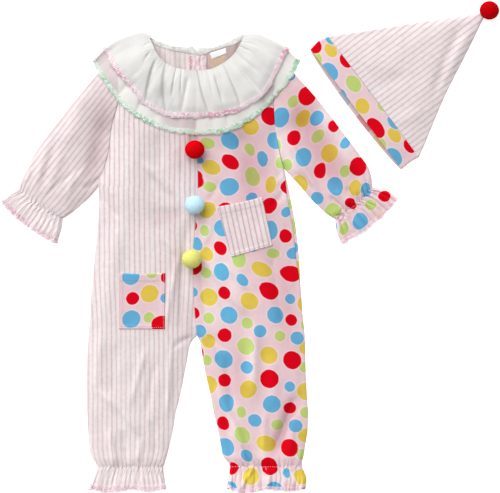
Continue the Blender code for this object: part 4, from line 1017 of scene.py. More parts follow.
# ---------------------------------------------------------------- tubes: sleeves and hat
def tube_form(rows, outward, floor_at, creases, gathers=(), seam=None, elastic_row=None,
              cut_row=None, under_reach=0.0, seed=0, row_step=1.8):
    """A flattened tube of cloth through crossings: its outer and inner grids as one wall.
    outward is the side that bow is on; seam is an armhole line that the first row follows."""
    table = np.array(rows, float)
    marks = length_marks((table[:, 0:2] + table[:, 2:4]) / 2)
    turning = marks[cut_row - 1] if cut_row else marks[-1] / 2
    at = np.concatenate(
        [fine_marks(0, turning, row_step), fine_marks(turning, marks[-1], FINE_ROW_STEP)[1:]]
    )
    row = smooth_rows(marks, table, at)
    upper, lower = row[:, 0:2], row[:, 2:4]
    across = lower - upper
    width = np.linalg.norm(across, axis=-1)[:, None]
    along = np.stack([-across[:, 1], across[:, 0]], -1) / width * outward
    below = (at - marks[elastic_row])[:, None] if elastic_row else np.full((len(at), 1), -1e3)

    def place(share):
        point = upper[:, None] + across[:, None] * share[None, :, None]
        bow = row[:, 4:5] * 4 * share * (1 - share)
        point = point + along[:, None] * bow[..., None]
        if seam is not None:
            chord = mix(np.array(seam.at(0.0)), np.array(seam.at(1.0)), share[:, None])
            fade = 1 - smoothstep(0, marks[1] * 1.1, at)[:, None, None]
            point = point + (seam.at(share) - chord)[None] * fade
        return point

    typical = float(width.mean())
    share = edged_shares(typical, TUBE_COLUMNS)
    point = place(share)
    x, y = point[..., 0], point[..., 1]
    crown = inward(EDGE_BLEND, share)
    inside = inward(INSIDE, share)
    relief = crease_height(creases, x, y) + undulation(x, y, seed, UNEVEN) * inside
    floor = floor_at(x, y)
    loft = lofted(share[None], below)
    height = floor + LAYERED + np.maximum(row[:, 5:6] * crown + loft + relief, 0.0)
    near_end = smoothstep(-HEM_RIPPLE_LENGTH, 0, at - at[-1])[:, None]
    if gathers:
        amount = row[:, 6:7]
        height, ripple, aside = gathered(height, gathers, amount, share[None], below, width, seed)
        ripple = HEM_RIPPLE * ripple * near_end
        x = x + along[:, :1] * ripple + across[:, :1] * aside / width
        y = y + along[:, 1:] * ripple + across[:, 1:] * aside / width
    if seam is not None:
        near_seam = 1 - smoothstep(0, SEAM_ROLL, at)[:, None]
        height -= SEAM_DROP * near_seam**2
    edge_height = floor + CLOTH + GAP / 2
    distance = np.minimum(share, 1 - share)[None] * width
    height = rolled(height, edge_height, distance, FOLD_ROLL)
    top = np.stack([x, y, height], -1)

    under_share = edged_shares(typical, UNDER_COLUMNS)[::-1][1:-1]
    point = place(under_share)
    reach = near_end * under_reach * np.sin(math.pi * under_share) ** 0.5
    point = point + along[:, None] * reach[..., None]
    floor = floor_at(point[..., 0], point[..., 1])
    distance = np.minimum(under_share, 1 - under_share)[None] * width
    height = rolled(floor, floor + CLOTH + GAP / 2, distance, UNDER_ROLL)
    bottom = raised(point, height)

    ring = np.concatenate([top, bottom], 1)
    if ring.shape[1] % 2:
        ring = np.delete(ring, top.shape[1] + bottom.shape[1] // 2, axis=1)
    middle = ring.mean(axis=1, keepdims=True)
    normal = grid_normals(ring, ring - middle, True)
    inner = (ring - WALL * normal)[:, ::2][::2]
    widths = cut_widths(upper, lower, at, marks[cut_row]) if cut_row else width[:, 0]
    cut = cut_places(top, place(share), share[None], upper, lower, widths)
    # the under layer is the same cloth carried on past the fold
    hidden = ring[:, top.shape[1] :, :2]
    cut = np.concatenate([cut, 2 * cut[:, -1:] - hidden], 1)
    return top, wall(ring, inner, cut, around=True), cut, at, marks


# ---------------------------------------------------------------- collar
FOLDS = {"left": Line(LEFT_FOLD), "right": Line(RIGHT_FOLD)}
NECK_LINE = Line(NECK_EDGE)
BACK_NECK_LINE = Line(BACK_NECK_EDGE)


def fold_place(tier, side, share):
    """Where a tier folds over at a shoulder, and the way out from it, at shares of its width."""
    line = FOLDS[side]
    share = np.asarray(share, float)
    run = line.at(np.minimum(share + 0.05, 1.0) * tier.fold_share)
    run = run - line.at(np.maximum(share - 0.05, 0.0) * tier.fold_share)
    out = unit(np.stack([-run[:, 1], run[:, 0]], -1))
    out *= np.sign(out[:, 1:2])
    return line.at(share * tier.fold_share) - out * tier.fold_inset, out


def tier_front(tier, outer_line, places, shares):
    """The plan of a tier's front, rows by columns."""
    start, end = NECK_LINE.at(places), outer_line.at(places)
    point = start[None] + (end - start)[None] * shares[:, None, None]
    for side, near in (("left", places), ("right", 1 - places)):
        fold = fold_place(tier, side, shares)[0]
        ends = fold_place(tier, side, np.array([0.0, 1.0]))[0]
        chord = ends[0] + (ends[1] - ends[0]) * shares[:, None]
        weight = 1 - smoothstep(0, FRONT_BLEND, near)
        point = point + (fold - chord)[:, None] * weight[None, :, None]
    return point


def drape_base(tier, outer_line, surface, places, shares):
    """Height of what a tier's front lies on, smoothed from the CAD's own columns."""
    coarse = np.linspace(0, 1, COLLAR_COLUMNS)
    rows = np.array(COLLAR_ROWS)
    plan = tier_front(tier, outer_line, coarse, rows)
    height = np.full(plan.shape[:2], -1.0)
    ring = [(0.0, 0.0)]
    for part in (0.5, 1.0):
        for turn in range(8):
            angle = turn * math.pi / 4
            ring.append((part * DRAPE_REACH * math.cos(angle), part * DRAPE_REACH * math.sin(angle)))
    for step_x, step_y in ring:
        found = heights_on(surface, plan[..., 0] + step_x, plan[..., 1] + step_y, -1.0)
        height = np.maximum(height, found)
    height = np.maximum(height, tier.front_z - DRAPE_GAP - EDGE_DROP * rows[:, None]) + DRAPE_GAP
    height[:, 0] = height[:, -1] = tier.front_z
    fine = smooth_rows(rows, height, shares)
    return smooth_rows(coarse, fine.T, places).T


def groove_height(tier, grooves, outer_line, places, shares):
    """How high a tier stands over its base: 1 between its grooves and 0 in them, times the
    depth that its flutes have there."""
    share = shares[:, None]
    calm = inward(CALM, places)
    depth = tier.flute * mix(NECK_FLUTE, 1.0, smoothstep(0, FULL_FLUTE, share)) * calm
    depth = depth * (1 - EDGE_SETTLE * smoothstep(SETTLE_FROM, 1.0, share))
    width = mix(NECK_ROUND, EDGE_ROUND, share)
    ridges = np.ones((len(shares), len(places)))
    for groove in grooves:
        at_neck = NECK_LINE.share_at_x(groove.neck_x)
        at_edge = outer_line.share_at_x(groove.edge_x)
        centre = mix(at_neck, at_edge, share)
        off = (places - centre) * width / (groove.width * mix(GROOVE_NECK_WIDTH, 1.0, share))
        off = off / np.where(off < 0, 1 - GROOVE_LEAN * groove.lean, 1 + GROOVE_LEAN * groove.lean)
        begun, over = 1.0, 1.0
        if groove.start:
            begun = smoothstep(groove.start - GROOVE_EARLY, groove.start + GROOVE_RISE, share)
        if groove.end < 1:
            over = 1 - smoothstep(groove.end - GROOVE_FALL, groove.end, share)
        shape = np.exp(-np.abs(off) ** GROOVE_SHARPNESS)
        ridges = ridges - groove.depth * begun * over * shape
    return depth * np.clip(ridges, 0, 1)


def fine_gathers(places, shares):
    """Small puckers that die away from the neck seam."""
    turn = places * 2 * math.pi
    wave = np.sin(turn * FINE_PUCKERS + 1.5 * np.sin(turn * 7))
    wave += 0.6 * np.sin(turn * FINER_PUCKERS + 1.0)
    return NECK_GATHER * wave * np.exp(-shares[:, None] / GATHER_LENGTH) * inward(0.08, places)


def tier_turn(tier, side, angles, shares):
    """The quarter to half round of a tier's fold at a shoulder, and the way it faces."""
    radius = (tier.front_z - tier.back_z) / 2
    middle = (tier.front_z + tier.back_z + COLLAR_CLOTH) / 2
    point, out = fold_place(tier, side, shares)
    sine, cosine = np.sin(angles)[None, :, None], np.cos(angles)[None, :, None]
    flat = point[:, None] + out[:, None] * radius * sine
    height = np.broadcast_to(middle + radius * cosine, flat.shape[:2] + (1,))
    way = np.concatenate([out[:, None] * sine, np.broadcast_to(cosine, flat.shape[:2] + (1,))], -1)
    return np.concatenate([flat, height], -1), way


def tier_back(tier, side, places, shares):
    """The back half of a tier from its fold round to the centre back, under the yoke."""
    way = -1 if side == "left" else 1
    fold_end = fold_place(tier, side, np.array([1.0]))[0][0]
    rise = min(max((YOKE_Y - fold_end[1]) / tier.back_depth, 0.0), 1.0)
    first_angle = math.asin(rise)
    angle = mix(first_angle, math.pi / 2, places)

    def outer_edge(angle):
        x, y = way * tier.back_width * np.cos(angle), tier.back_depth * np.sin(angle)
        return np.stack([YOKE_X + x, YOKE_Y - y], -1)

    end = outer_edge(angle) + (fold_end - outer_edge(first_angle)) * (1 - places)[:, None]
    neck_share = places / 2 if side == "left" else 1 - places / 2
    slit = np.stack([way * BACK_SLIT * places, np.zeros_like(places)], -1)
    start, end = BACK_NECK_LINE.at(neck_share) + slit, end + slit
    point = start[None] + (end - start)[None] * shares[:, None, None]
    fold = fold_place(tier, side, shares)[0]
    chord = fold[0] + (fold_end - fold[0]) * shares[:, None]
    weight = 1 - smoothstep(0, BACK_BLEND, places)
    point = point + (fold - chord)[:, None] * weight[None, :, None]
    height = np.full(point.shape[:2] + (1,), tier.back_z + COLLAR_CLOTH / 2)
    facing = np.broadcast_to(np.array([0, 0, -1.0]), point.shape[:2] + (3,))
    return np.concatenate([point, height], -1), facing


def tier_grid(tier, grooves, surface, shares, seed):
    """The middle of a tier's cloth from one end at the centre back round to the other, and
    the way its outer face looks."""
    outer_line = Line(tier.outer_edge)
    places = np.linspace(0, 1, TIER_PLACES)
    plan = tier_front(tier, outer_line, places, shares)
    base = drape_base(tier, outer_line, surface, places, shares)
    height = base + COLLAR_CLOTH / 2 + groove_height(tier, grooves, outer_line, places, shares)
    height += fine_gathers(places, shares)
    calm = inward(CALM, places)
    height += undulation(plan[..., 0], plan[..., 1], seed, UNEVEN) * calm
    height += crease_height(COLLAR_CREASES, plan[..., 0], plan[..., 1]) * calm
    outward = unit(plan[-1] - plan[0])
    wave = edge_waves(length_marks(plan[-1]), seed, EDGE_WAVE) * calm
    plan = plan + outward[None] * (wave[None] * shares[:, None] ** 2)[..., None]
    front = raised(plan, height)
    up = np.broadcast_to(np.array([0, 0, 1.0]), front.shape)
    angles = np.linspace(0, math.pi, FOLD_STEPS)[1:]
    back_places = np.linspace(0, 1, BACK_STEPS)[1:]
    left, left_way = tier_turn(tier, "left", angles, shares)
    right, right_way = tier_turn(tier, "right", angles, shares)
    left_back, left_down = tier_back(tier, "left", back_places, shares)
    right_back, right_down = tier_back(tier, "right", back_places, shares)
    points = [left_back[:, ::-1], left[:, ::-1], front, right, right_back]
    ways = [left_down[:, ::-1], left_way[:, ::-1], up, right_way, right_down]
    points, ways = np.concatenate(points, 1), np.concatenate(ways, 1)
    if points.shape[1] % 2 == 0:
        points, ways = points[:, 1:], ways[:, 1:]
    return points, ways


def tier_wall(points, ways, thick):
    top = points + ways * thick / 2
    under = (points - ways * thick / 2)[::2, ::2]
    run = length_marks(points[-1])
    out = np.linalg.norm(points[-1] - points[0], axis=-1).mean()
    rows = np.linspace(0, out, len(points))
    cut = np.stack(np.broadcast_arrays(run[None], rows[:, None]), -1)
    return wall(top, under, cut)


LOOP_PITCH, TRIM_YARN = 2.7, 0.42
TRIM_WAVE, TRIM_THICK = 1.2, 0.9
RIBBON_THICK, RIBBON_ARCH, RIBBON_INSET, SCALLOP = 0.7, 0.2, 1.1, 0.55
# rows of loops on a trim: share of its width, reach and lift
TRIM_ROWS = [(0.0, 2.0, 0.35), (0.25, 2.2, 0.3), (0.5, 2.3, 0.2), (0.74, 2.4, 0.1)]


def trim_form(points, ways, seed):
    """A crochet edging on the last of a tier: a scalloped ribbon under rows of loops."""
    outward = points[-1] - points[0]
    size = np.linalg.norm(outward, axis=-1, keepdims=True)
    outward = unit(outward)
    run = length_marks(points[-1])
    scallop = SCALLOP * (0.5 + 0.5 * np.cos(run * 2 * math.pi / LOOP_PITCH))[:, None]
    wave = edge_waves(run, seed, TRIM_WAVE, (5.0, 8.0, 13.0, 23.0))[:, None]
    ribbon = points.copy()
    ribbon[-1] += outward * (wave - RIBBON_INSET + scallop)
    ribbon[len(points) // 2] += ways[len(points) // 2] * RIBBON_ARCH
    forms = [tier_wall(ribbon, ways, RIBBON_THICK)]
    for number, (place, reach, lift) in enumerate(TRIM_ROWS):
        path = points[0] + outward * (place * size + wave * place) + ways[0] * lift
        forms.append(yarn_loops(path, outward, LOOP_PITCH, reach, TRIM_YARN, seed + number))
    return joined(forms)


# ---------------------------------------------------------------- neck
def back_top(x, y):
    """Height of the back's inside, which the pieces in the neck lie on."""
    return yoke_lift(x, y) + BACK_WALL + np.maximum(crease_height(NECK_CREASES, x, y), 0.0)


def binding_form():
    """The bound back neck: a rounded band with a notch at the centre back."""
    table = np.array(BINDING, float)
    marks = length_marks((table[:, 0:2] + table[:, 2:4]) / 2)
    at = fine_marks(0, marks[-1], 1.0)
    row = smooth_rows(marks, table, at)
    across = np.linspace(0, 1, 13)
    plan = mix(row[:, None, 0:2], row[:, None, 2:4], across[None, :, None])
    dome = np.sqrt(np.clip(1 - (2 * across - 1) ** 4, 0, 1))
    turn = at * 2 * math.pi / BINDING_PUCKER_PITCH + np.sin(at / 4)
    pucker = BINDING_PUCKER * np.sin(turn)[:, None]
    pucker = pucker * np.sin(math.pi * across)
    edge_stitch = -BINDING_STITCH * bell(across - BINDING_STITCH_PLACE, 0.05)
    ground = back_top(plan[..., 0], plan[..., 1])
    height = ground + 0.1 + BINDING_THICK * dome[None] + pucker + edge_stitch
    top = raised(plan, height)
    under = top[::2, ::2].copy()
    under[..., 2] = ground[::2, ::2] - NECK_BED
    cut = np.stack(np.broadcast_arrays(at[:, None], across[None] * BINDING_WIDTH), -1)
    return wall(top, under, cut), cut


def placket_form():
    """The back closing's placket as it shows inside the neck: ridges of folded cloth."""
    x = np.linspace(PLACKET_LEFT, PLACKET_RIGHT, 73)
    y = np.linspace(PLACKET_TOP, PLACKET_BOTTOM, 61)
    places = np.linspace(PLACKET_LEFT, PLACKET_RIGHT, len(PLACKET_RIDGES))
    ridge = smooth_rows(places, np.array(PLACKET_RIDGES)[:, None], x)[:, 0]
    grid_x, grid_y = np.meshgrid(x, y)
    edge = np.minimum(grid_x - PLACKET_LEFT, PLACKET_RIGHT - grid_x)
    wobble = PLACKET_WOBBLE * np.sin(grid_y / 4.0) * np.sin((grid_x - PLACKET_LEFT) / 4.2)
    ground = back_top(grid_x, grid_y)
    crimp = PLACKET_CRIMP * np.sin(grid_y / 1.4 + grid_x / 3.0)
    height = ground + CLOTH + PLACKET_RIDGE * ridge[None] + crimp
    height = rolled(height, ground + 0.1, edge, PLACKET_ROLL)
    top = np.stack([grid_x + wobble * smoothstep(0, 3, edge), grid_y, height], -1)
    under = np.stack([grid_x, grid_y, ground - NECK_BED], -1)[::2, ::2]
    cut = np.stack([grid_x - PLACKET_LEFT, grid_y], -1)
    return wall(top, under, cut), cut


def patch(corners, columns, rows):
    """Shares across and down a patch with four corners, and where its points lie."""
    left_top, right_top, right_low, left_low = (np.array(corner) for corner in corners)
    across, down = np.meshgrid(np.linspace(0, 1, columns), np.linspace(0, 1, rows))
    upper = mix(left_top, right_top, across[..., None])
    lower = mix(left_low, right_low, across[..., None])
    return across, down, mix(upper, lower, down[..., None])


def label_form():
    across, down, plan = patch(LABEL_CORNERS, 41, 17)
    edge = np.minimum(
        np.minimum(across, 1 - across) * LABEL_WIDTH, np.minimum(down, 1 - down) * LABEL_DEPTH
    )
    height = back_top(plan[..., 0], plan[..., 1]) + 0.15 + LABEL_SWELL * smoothstep(0, 0.8, edge)
    height += LABEL_CURL * np.sin(math.pi * across) * down
    height -= LABEL_GROOVE * bell(edge - LABEL_SEAM, 0.35)
    top = raised(plan, height)
    under = top[::2, ::2].copy()
    under[..., 2] -= LABEL_THICK
    cut = np.stack([across * LABEL_WIDTH, down * LABEL_DEPTH], -1)
    return wall(top, under, cut)


# ---------------------------------------------------------------- pockets
POCKET_COLUMNS, POCKET_ROWS, POCKET_SEED = 61, 71, 31
POCKET_HEM, POCKET_SEAM, SEAM_GROOVE = 11.0, 2.2, 0.55
SEAM_DEPTH, HEM_DEPTH = 0.5, 0.45
TURNED_IN, TURNED_THICK, HEM_THICK = 5.0, 0.45, 0.4  # the cloth folded under along the edges
POCKET_PUFF, POCKET_PUFF_END, POCKET_SAG = 1.1, 0.4, 1.2  # how the mouth stands open and sags
POCKET_RISE, POCKET_THICK, POCKET_ROLL = 0.8, 1.1, 1.3
MOUTH_DROP, MOUTH_ROLL = 0.7, 0.9
SETTLINGS = 6  # how often the ground is evened out, as cloth spans small hollows


def pocket_grid(corners, surface):
    """A patch over the panel's own form: its turned-in edges, its hemmed mouth that stands a
    little open, and the grooves of its stitching."""
    across, down, plan = patch(corners, POCKET_COLUMNS, POCKET_ROWS)
    mouth_left, mouth_right, foot_left = (np.array(corners[k]) for k in (0, 1, 3))
    width, length = np.linalg.norm(mouth_right - mouth_left), np.linalg.norm(foot_left - mouth_left)
    slack = np.sin(math.pi * across) * (1 - down) ** 2
    plan = plan + (foot_left - mouth_left) / length * (POCKET_SAG * slack)[..., None]
    ground = heights_on(surface, plan[..., 0], plan[..., 1], 5.0)
    for _ in range(SETTLINGS):
        padded = np.pad(ground, 1, mode="edge")
        ground = np.maximum(
            ground,
            (padded[:-2, 1:-1] + padded[2:, 1:-1] + padded[1:-1, :-2] + padded[1:-1, 2:]) / 4,
        )
    side = np.minimum(across, 1 - across) * width
    foot, mouth = (1 - down) * length, down * length
    edge = np.minimum(side, foot)
    folded = TURNED_THICK * (1 - smoothstep(TURNED_IN, TURNED_IN + 1, edge))
    folded = folded + HEM_THICK * (1 - smoothstep(POCKET_HEM, POCKET_HEM + 1, mouth))
    puff = POCKET_PUFF * np.sin(math.pi * across) * (1 - smoothstep(0, POCKET_PUFF_END, down))
    ripple = undulation(plan[..., 0], plan[..., 1], POCKET_SEED, UNEVEN) * smoothstep(0, 8, edge)
    height = ground + GAP + POCKET_RISE + folded + puff + ripple
    height -= SEAM_DEPTH * bell(edge - POCKET_SEAM, SEAM_GROOVE)
    height -= HEM_DEPTH * bell(mouth - POCKET_HEM, SEAM_GROOVE)
    height = rolled(height, ground + 0.1, edge, POCKET_ROLL)
    height = rolled(height, height - MOUTH_DROP, mouth, MOUTH_ROLL)
    top = raised(plan, height)
    under = top[::2, ::2].copy()
    under[..., 2] = np.maximum(ground + 0.05, height - POCKET_THICK - puff * 0.2)[::2, ::2]
    return top, under, plan


# ---------------------------------------------------------------- pompoms
POMPOM_SQUASH = 0.84  # they sit a little flat on the cloth
CORE_SIZE = 0.95  # as shares of the pompom's radius, like what follows
LUMPS, LUMP_HEIGHT, LUMP_WIDTH = 24, 0.008, 0.03
FIBRE_ROOT, FIBRE_TIP, FIBRE_LEAN = 0.92, (0.975, 1.01), 0.06
FIBRES, FIBRE_THICK = 5200, (0.4, 0.6)


def pompom_form(node, seed):
    """A ball of short cut yarn: a lumpy core and fine fibres all over it."""
    low, high = (np.array(corner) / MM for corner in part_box(node))
    radius = (high - low) / 2 * np.array([1.0, 1.0, POMPOM_SQUASH])
    centre = (low + high) / 2
    centre[2] = low[2] + radius[2]
    rng = np.random.default_rng(seed)
    ball = bmesh.new()
    bmesh.ops.create_icosphere(ball, subdivisions=4, radius=1.0)
    ball.verts.ensure_lookup_table()
    core = np.array([vertex.co for vertex in ball.verts])
    faces = [[vertex.index for vertex in face.verts] for face in ball.faces]
    ball.free()
    lumps = np.zeros(len(core))
    for _ in range(LUMPS):
        way = unit(rng.normal(size=3))
        lumps += rng.uniform(0.3, 1.0) * np.exp(-((1 - core @ way) / LUMP_WIDTH))
    core_points = centre + core * radius * (CORE_SIZE + LUMP_HEIGHT * lumps)[:, None]
    step = np.arange(FIBRES) + 0.5
    tilt = np.arccos(1 - 2 * step / FIBRES) + rng.normal(0, 0.012, FIBRES)
    turn = math.pi * (1 + math.sqrt(5)) * step + rng.normal(0, 0.03, FIBRES)
    way = np.stack([np.sin(tilt) * np.cos(turn), np.sin(tilt) * np.sin(turn), np.cos(tilt)], -1)
    lean = unit(way + rng.normal(0, FIBRE_LEAN, (FIBRES, 3)))
    root = centre + way * radius * FIBRE_ROOT
    tip = centre + lean * radius * rng.uniform(*FIBRE_TIP, (FIBRES, 1))
    side = unit(np.cross(way, rng.normal(size=(FIBRES, 3))))
    other = np.cross(way, side)
    thick = rng.uniform(*FIBRE_THICK, (FIBRES, 1))
    corners = [root + thick * (side * math.cos(a) + other * math.sin(a)) for a in (0, 2.09, 4.19)]
    points = np.stack(corners + [tip], 1)
    points[..., 2] = np.maximum(points[..., 2], low[2])
    local = np.array([(0, 1, 3), (1, 2, 3), (2, 0, 3), (0, 2, 1)])
    hair = (len(core) + np.arange(FIBRES)[:, None, None] * 4 + local).reshape(-1, 3).tolist()
    everything = np.concatenate([core_points, points.reshape(-1, 3)])
    everything[:, 2] = np.maximum(everything[:, 2], low[2])
    return Form(everything, faces + hair, everything[:, :2].copy(), [0] * (len(faces) + len(hair)))


# ---------------------------------------------------------------- materials
SPECULAR = 0.06  # matt cloth and yarn
WEAVE_DEPTH = 0.00025
JERSEY, VOILE = 1100.0, 900.0  # threads to the metre
WORN_LENGTH = 220  # over how many mm the stripes weaken
# in metres: how unevenly a dot's edge is printed, over what its rim and the edge fade, how
# far a stripe strays, and over what a stitched line fades
DOT_WOBBLE, RIM_FADE, EDGE_FADE = 0.0012, (0.0006, 0.0028), (-0.0005, 0.0007)
STRIPE_DRIFT, SEAM_FADE = 0.0016, (0.0003, 0.0013)
RIM_STRENGTH, HALO_STRENGTH = 0.4, 0.22
# painted shade and painted highlight: what a cloth's colour is multiplied by in the hollows between its
# folds, and on the folds that stand out
PAINTED_SHADE_STRIPED = (0.82, 0.75, 0.77, 1.0)
PAINTED_SHADE_DOTTED = (0.86, 0.72, 0.76, 1.0)
PAINTED_HIGHLIGHT_STRIPED = (1.10, 1.14, 1.13, 1.0)
PAINTED_HIGHLIGHT_DOTTED = (1.18, 1.38, 1.32, 1.0)


class Nodes:
    """A material under way, with short names for the nodes that make it."""

    def __init__(self, name, roughness=0.85):
        self.material = bpy.data.materials.new(name)
        self.material.use_nodes = True
        self.tree = self.material.node_tree
        self.shader = self.tree.nodes["Principled BSDF"]
        self.shader.inputs["Roughness"].default_value = roughness
        self.shader.inputs["Specular IOR Level"].default_value = SPECULAR

    def add(self, kind, inputs, **settings):
        """A node with its settings, and its sockets linked or set."""
        made = self.tree.nodes.new(kind)
        for name, value in settings.items():
            setattr(made, name, value)
        for socket, value in inputs.items():
            if isinstance(value, bpy.types.NodeSocket):
                self.tree.links.new(value, made.inputs[socket])
            else:
                made.inputs[socket].default_value = value
        return made

    def maths(self, operation, *values):
        return self.add("ShaderNodeMath", dict(enumerate(values)), operation=operation).outputs[0]

    def times(self, one, other):
        return self.maths("MULTIPLY", one, other)

    def spread(self, value, gain, start):
        return self.maths("MULTIPLY_ADD", value, gain, start)

    def vectors(self, operation, *values):
        made = self.add("ShaderNodeVectorMath", dict(enumerate(values)), operation=operation)
        return made.outputs

    def split(self, place):
        return self.add("ShaderNodeSeparateXYZ", {0: place}).outputs

    def eased(self, value, low, high):
        """0 below low, 1 above high, smooth between."""
        inputs = {0: value, 1: low, 2: high, 3: 0.0, 4: 1.0}
        return self.add("ShaderNodeMapRange", inputs, interpolation_type="SMOOTHSTEP").outputs[0]

    def fading(self, value, low, high):
        """1 below low, 0 above high, smooth between."""
        return self.maths("SUBTRACT", 1.0, self.eased(value, low, high))

    def mixed(self, share, first, second, blend="MIX"):
        inputs = {"Factor": share, 6: first, 7: second}
        return self.add("ShaderNodeMix", inputs, data_type="RGBA", blend_type=blend).outputs[2]

    def noise(self, place, scale, detail=2.0, output="Fac"):
        inputs = {"Vector": place, "Scale": scale, "Detail": detail}
        return self.add("ShaderNodeTexNoise", inputs).outputs[output]

    def cut_place(self):
        """The flat cloth's own coordinates, in metres."""
        return self.add("ShaderNodeUVMap", {}, uv_map="cut").outputs[0]

    def made_place(self):
        """The made piece's own coordinates, in metres."""
        return self.add("ShaderNodeTexCoord", {}).outputs["Object"]

    def with_painted_shade(self, colour, shade_factor, highlight_factor):
        """Painted shade, darker in the hollows between the folds, and painted highlight, paler on them,
        as the piece's tone says.
        """
        depth = self.add("ShaderNodeAttribute", {}, attribute_name="tone").outputs["Fac"]
        shaded_colour = self.mixed(1.0, colour, shade_factor, "MULTIPLY")
        colour = self.mixed(self.maths("MAXIMUM", depth, 0.0), colour, shaded_colour)
        out = self.maths("MAXIMUM", self.times(depth, -1.0), 0.0)
        return self.mixed(out, colour, self.mixed(1.0, colour, highlight_factor, "MULTIPLY"))

    def finished(self, colour, relief, strength, depth):
        """The material with its colour, and with a fine relief as bump."""
        self.tree.links.new(colour, self.shader.inputs["Base Color"])
        inputs = {"Height": relief, "Strength": strength, "Distance": depth}
        bump = self.add("ShaderNodeBump", inputs).outputs[0]
        self.tree.links.new(bump, self.shader.inputs["Normal"])
        return self.material

    def woven(self, colour, place, weave=0.06, mottle=0.03, knit=JERSEY):
        """The material of a cloth, mottled, with its threads as bump."""
        both = self.spread(self.noise(place, 160.0, 3.0), mottle * 2, 1 - mottle)
        both = self.times(both, self.spread(self.noise(place, 900.0, 1.0), weave, 1 - weave / 2))
        shade = self.add("ShaderNodeCombineColor", {0: both, 1: both, 2: both}).outputs[0]
        turns = [self.times(part, knit * 2 * math.pi) for part in self.split(place)[:2]]
        across, up = (self.maths("SINE", turn) for turn in turns)
        threads = self.spread(across, 0.25, self.spread(up, 0.2, 0.5))
        threads = self.spread(self.noise(place, 700.0), 0.9, threads)
        return self.finished(self.mixed(1.0, colour, shade, "MULTIPLY"), threads, 0.35, WEAVE_DEPTH)


def rgb(red, green, blue):
    """A linear colour from the usual 0 to 255 values."""
    def linear(value):
        value /= 255
        return value / 12.92 if value <= 0.04045 else ((value + 0.055) / 1.055) ** 2.4
    return (linear(red), linear(green), linear(blue), 1.0)


def striped_material(name, ground, line, strength, worn_from=None):
    """Stripes on a ground; below worn_from, in mm up the garment, they are slowly weaker."""
    do = Nodes(name)
    place = do.cut_place()
    if worn_from is not None:
        up = do.split(do.made_place())[1]
        kept = do.eased(up, (worn_from - WORN_LENGTH) * MM, worn_from * MM)
        strength = do.times(do.spread(kept, 0.3, 0.7), strength)
    drift = do.spread(do.noise(place, 40.0), STRIPE_DRIFT, -STRIPE_DRIFT / 2)
    across = do.maths("ADD", do.split(place)[0], drift)
    pitch, half = STRIPE_PITCH * MM, STRIPE_WIDTH * MM / 2
    off = do.maths("ABSOLUTE", do.maths("WRAP", across, pitch / 2, -pitch / 2))
    # print worn in flecks, and each line a little stronger or weaker than the next
    flecks = do.spread(do.noise(place, 260.0, 4.0), 1.3, 0.2)
    lines = do.vectors("MULTIPLY", place, (1.0, 0.03, 1.0))[0]
    worn = do.times(flecks, do.spread(do.noise(lines, 90.0, 1.0), 1.8, 0.1))
    band = do.times(do.fading(off, half * 0.35, half * 1.5), do.times(worn, strength))
    halo = do.fading(off, half, half * 2.6)
    shown = do.mixed(band, do.mixed(do.times(halo, HALO_STRENGTH), ground, line), line)
    # the print, with painted shade and painted highlight from the piece's bands
    return do.woven(do.with_painted_shade(shown, PAINTED_SHADE_STRIPED, PAINTED_HIGHLIGHT_STRIPED), place, 0.14, 0.13)


def dotted_material(name, ground, colours, strength=1.0):
    """Dots on a ground, each with a thin paler rim where the print ends."""
    do = Nodes(name)
    place = do.cut_place()
    wobble = do.vectors("SUBTRACT", do.noise(place, 200.0, 1.0, "Color"), (0.5,) * 3)[0]
    spot = do.vectors("ADD", place, do.vectors("MULTIPLY", wobble, (DOT_WOBBLE,) * 3)[0])[0]
    half = (TILE_WIDTH * MM / 2, TILE_HEIGHT * MM / 2, 1.0)
    result = ground
    for colour, dots in DOTS.items():
        nearest = None
        for dot in dots:
            off = do.vectors("SUBTRACT", spot, (dot.x * MM, dot.y * MM, 0.0))[0]
            off = do.vectors("WRAP", off, half, tuple(-side for side in half))[0]
            reach = do.vectors("LENGTH", do.vectors("MULTIPLY", off, (1.0, 1.0, 0.0))[0])["Value"]
            edge = do.maths("SUBTRACT", reach, dot.size * MM / 2)
            nearest = edge if nearest is None else do.maths("MINIMUM", nearest, edge)
        rim = do.fading(nearest, *RIM_FADE)
        result = do.mixed(do.times(rim, RIM_STRENGTH * strength), result, DOT_RIM)
        inside = do.fading(nearest, *EDGE_FADE)
        result = do.mixed(do.times(inside, strength), result, colours[colour])
    # the print, with painted shade and painted highlight from the piece's bands
    return do.woven(do.with_painted_shade(result, PAINTED_SHADE_DOTTED, PAINTED_HIGHLIGHT_DOTTED), place, 0.08, 0.07)


def plain_cloth(name, colour, tint, tint_scale=18.0, knit=JERSEY, roughness=0.85):
    """Plain cloth; tint is a second colour that shows through it in soft patches."""
    do = Nodes(name, roughness)
    place = do.cut_place()
    patches = do.eased(do.noise(place, tint_scale, 1.0), 0.38, 0.66)
    return do.woven(do.mixed(patches, colour, tint), place, knit=knit)


def sheer_cloth(name, colour, tint):
    """Plain cloth, tinted where it lies close on the cloth that shows through it."""
    do = Nodes(name)
    across = do.split(do.made_place())[0]
    share = 0.0
    for start, end, soft in SHEER_PATCHES:
        inside = do.eased(across, (start - soft) * MM, (start + soft) * MM)
        before = do.fading(across, (end - 2) * MM, (end + 2) * MM)
        share = do.maths("ADD", share, do.times(inside, before))
    place = do.cut_place()
    cloudy = do.times(share, do.spread(do.noise(place, 40.0), 0.7, 0.5))
    return do.woven(do.mixed(do.maths("MINIMUM", cloudy, 1.0), colour, tint), place, knit=VOILE)


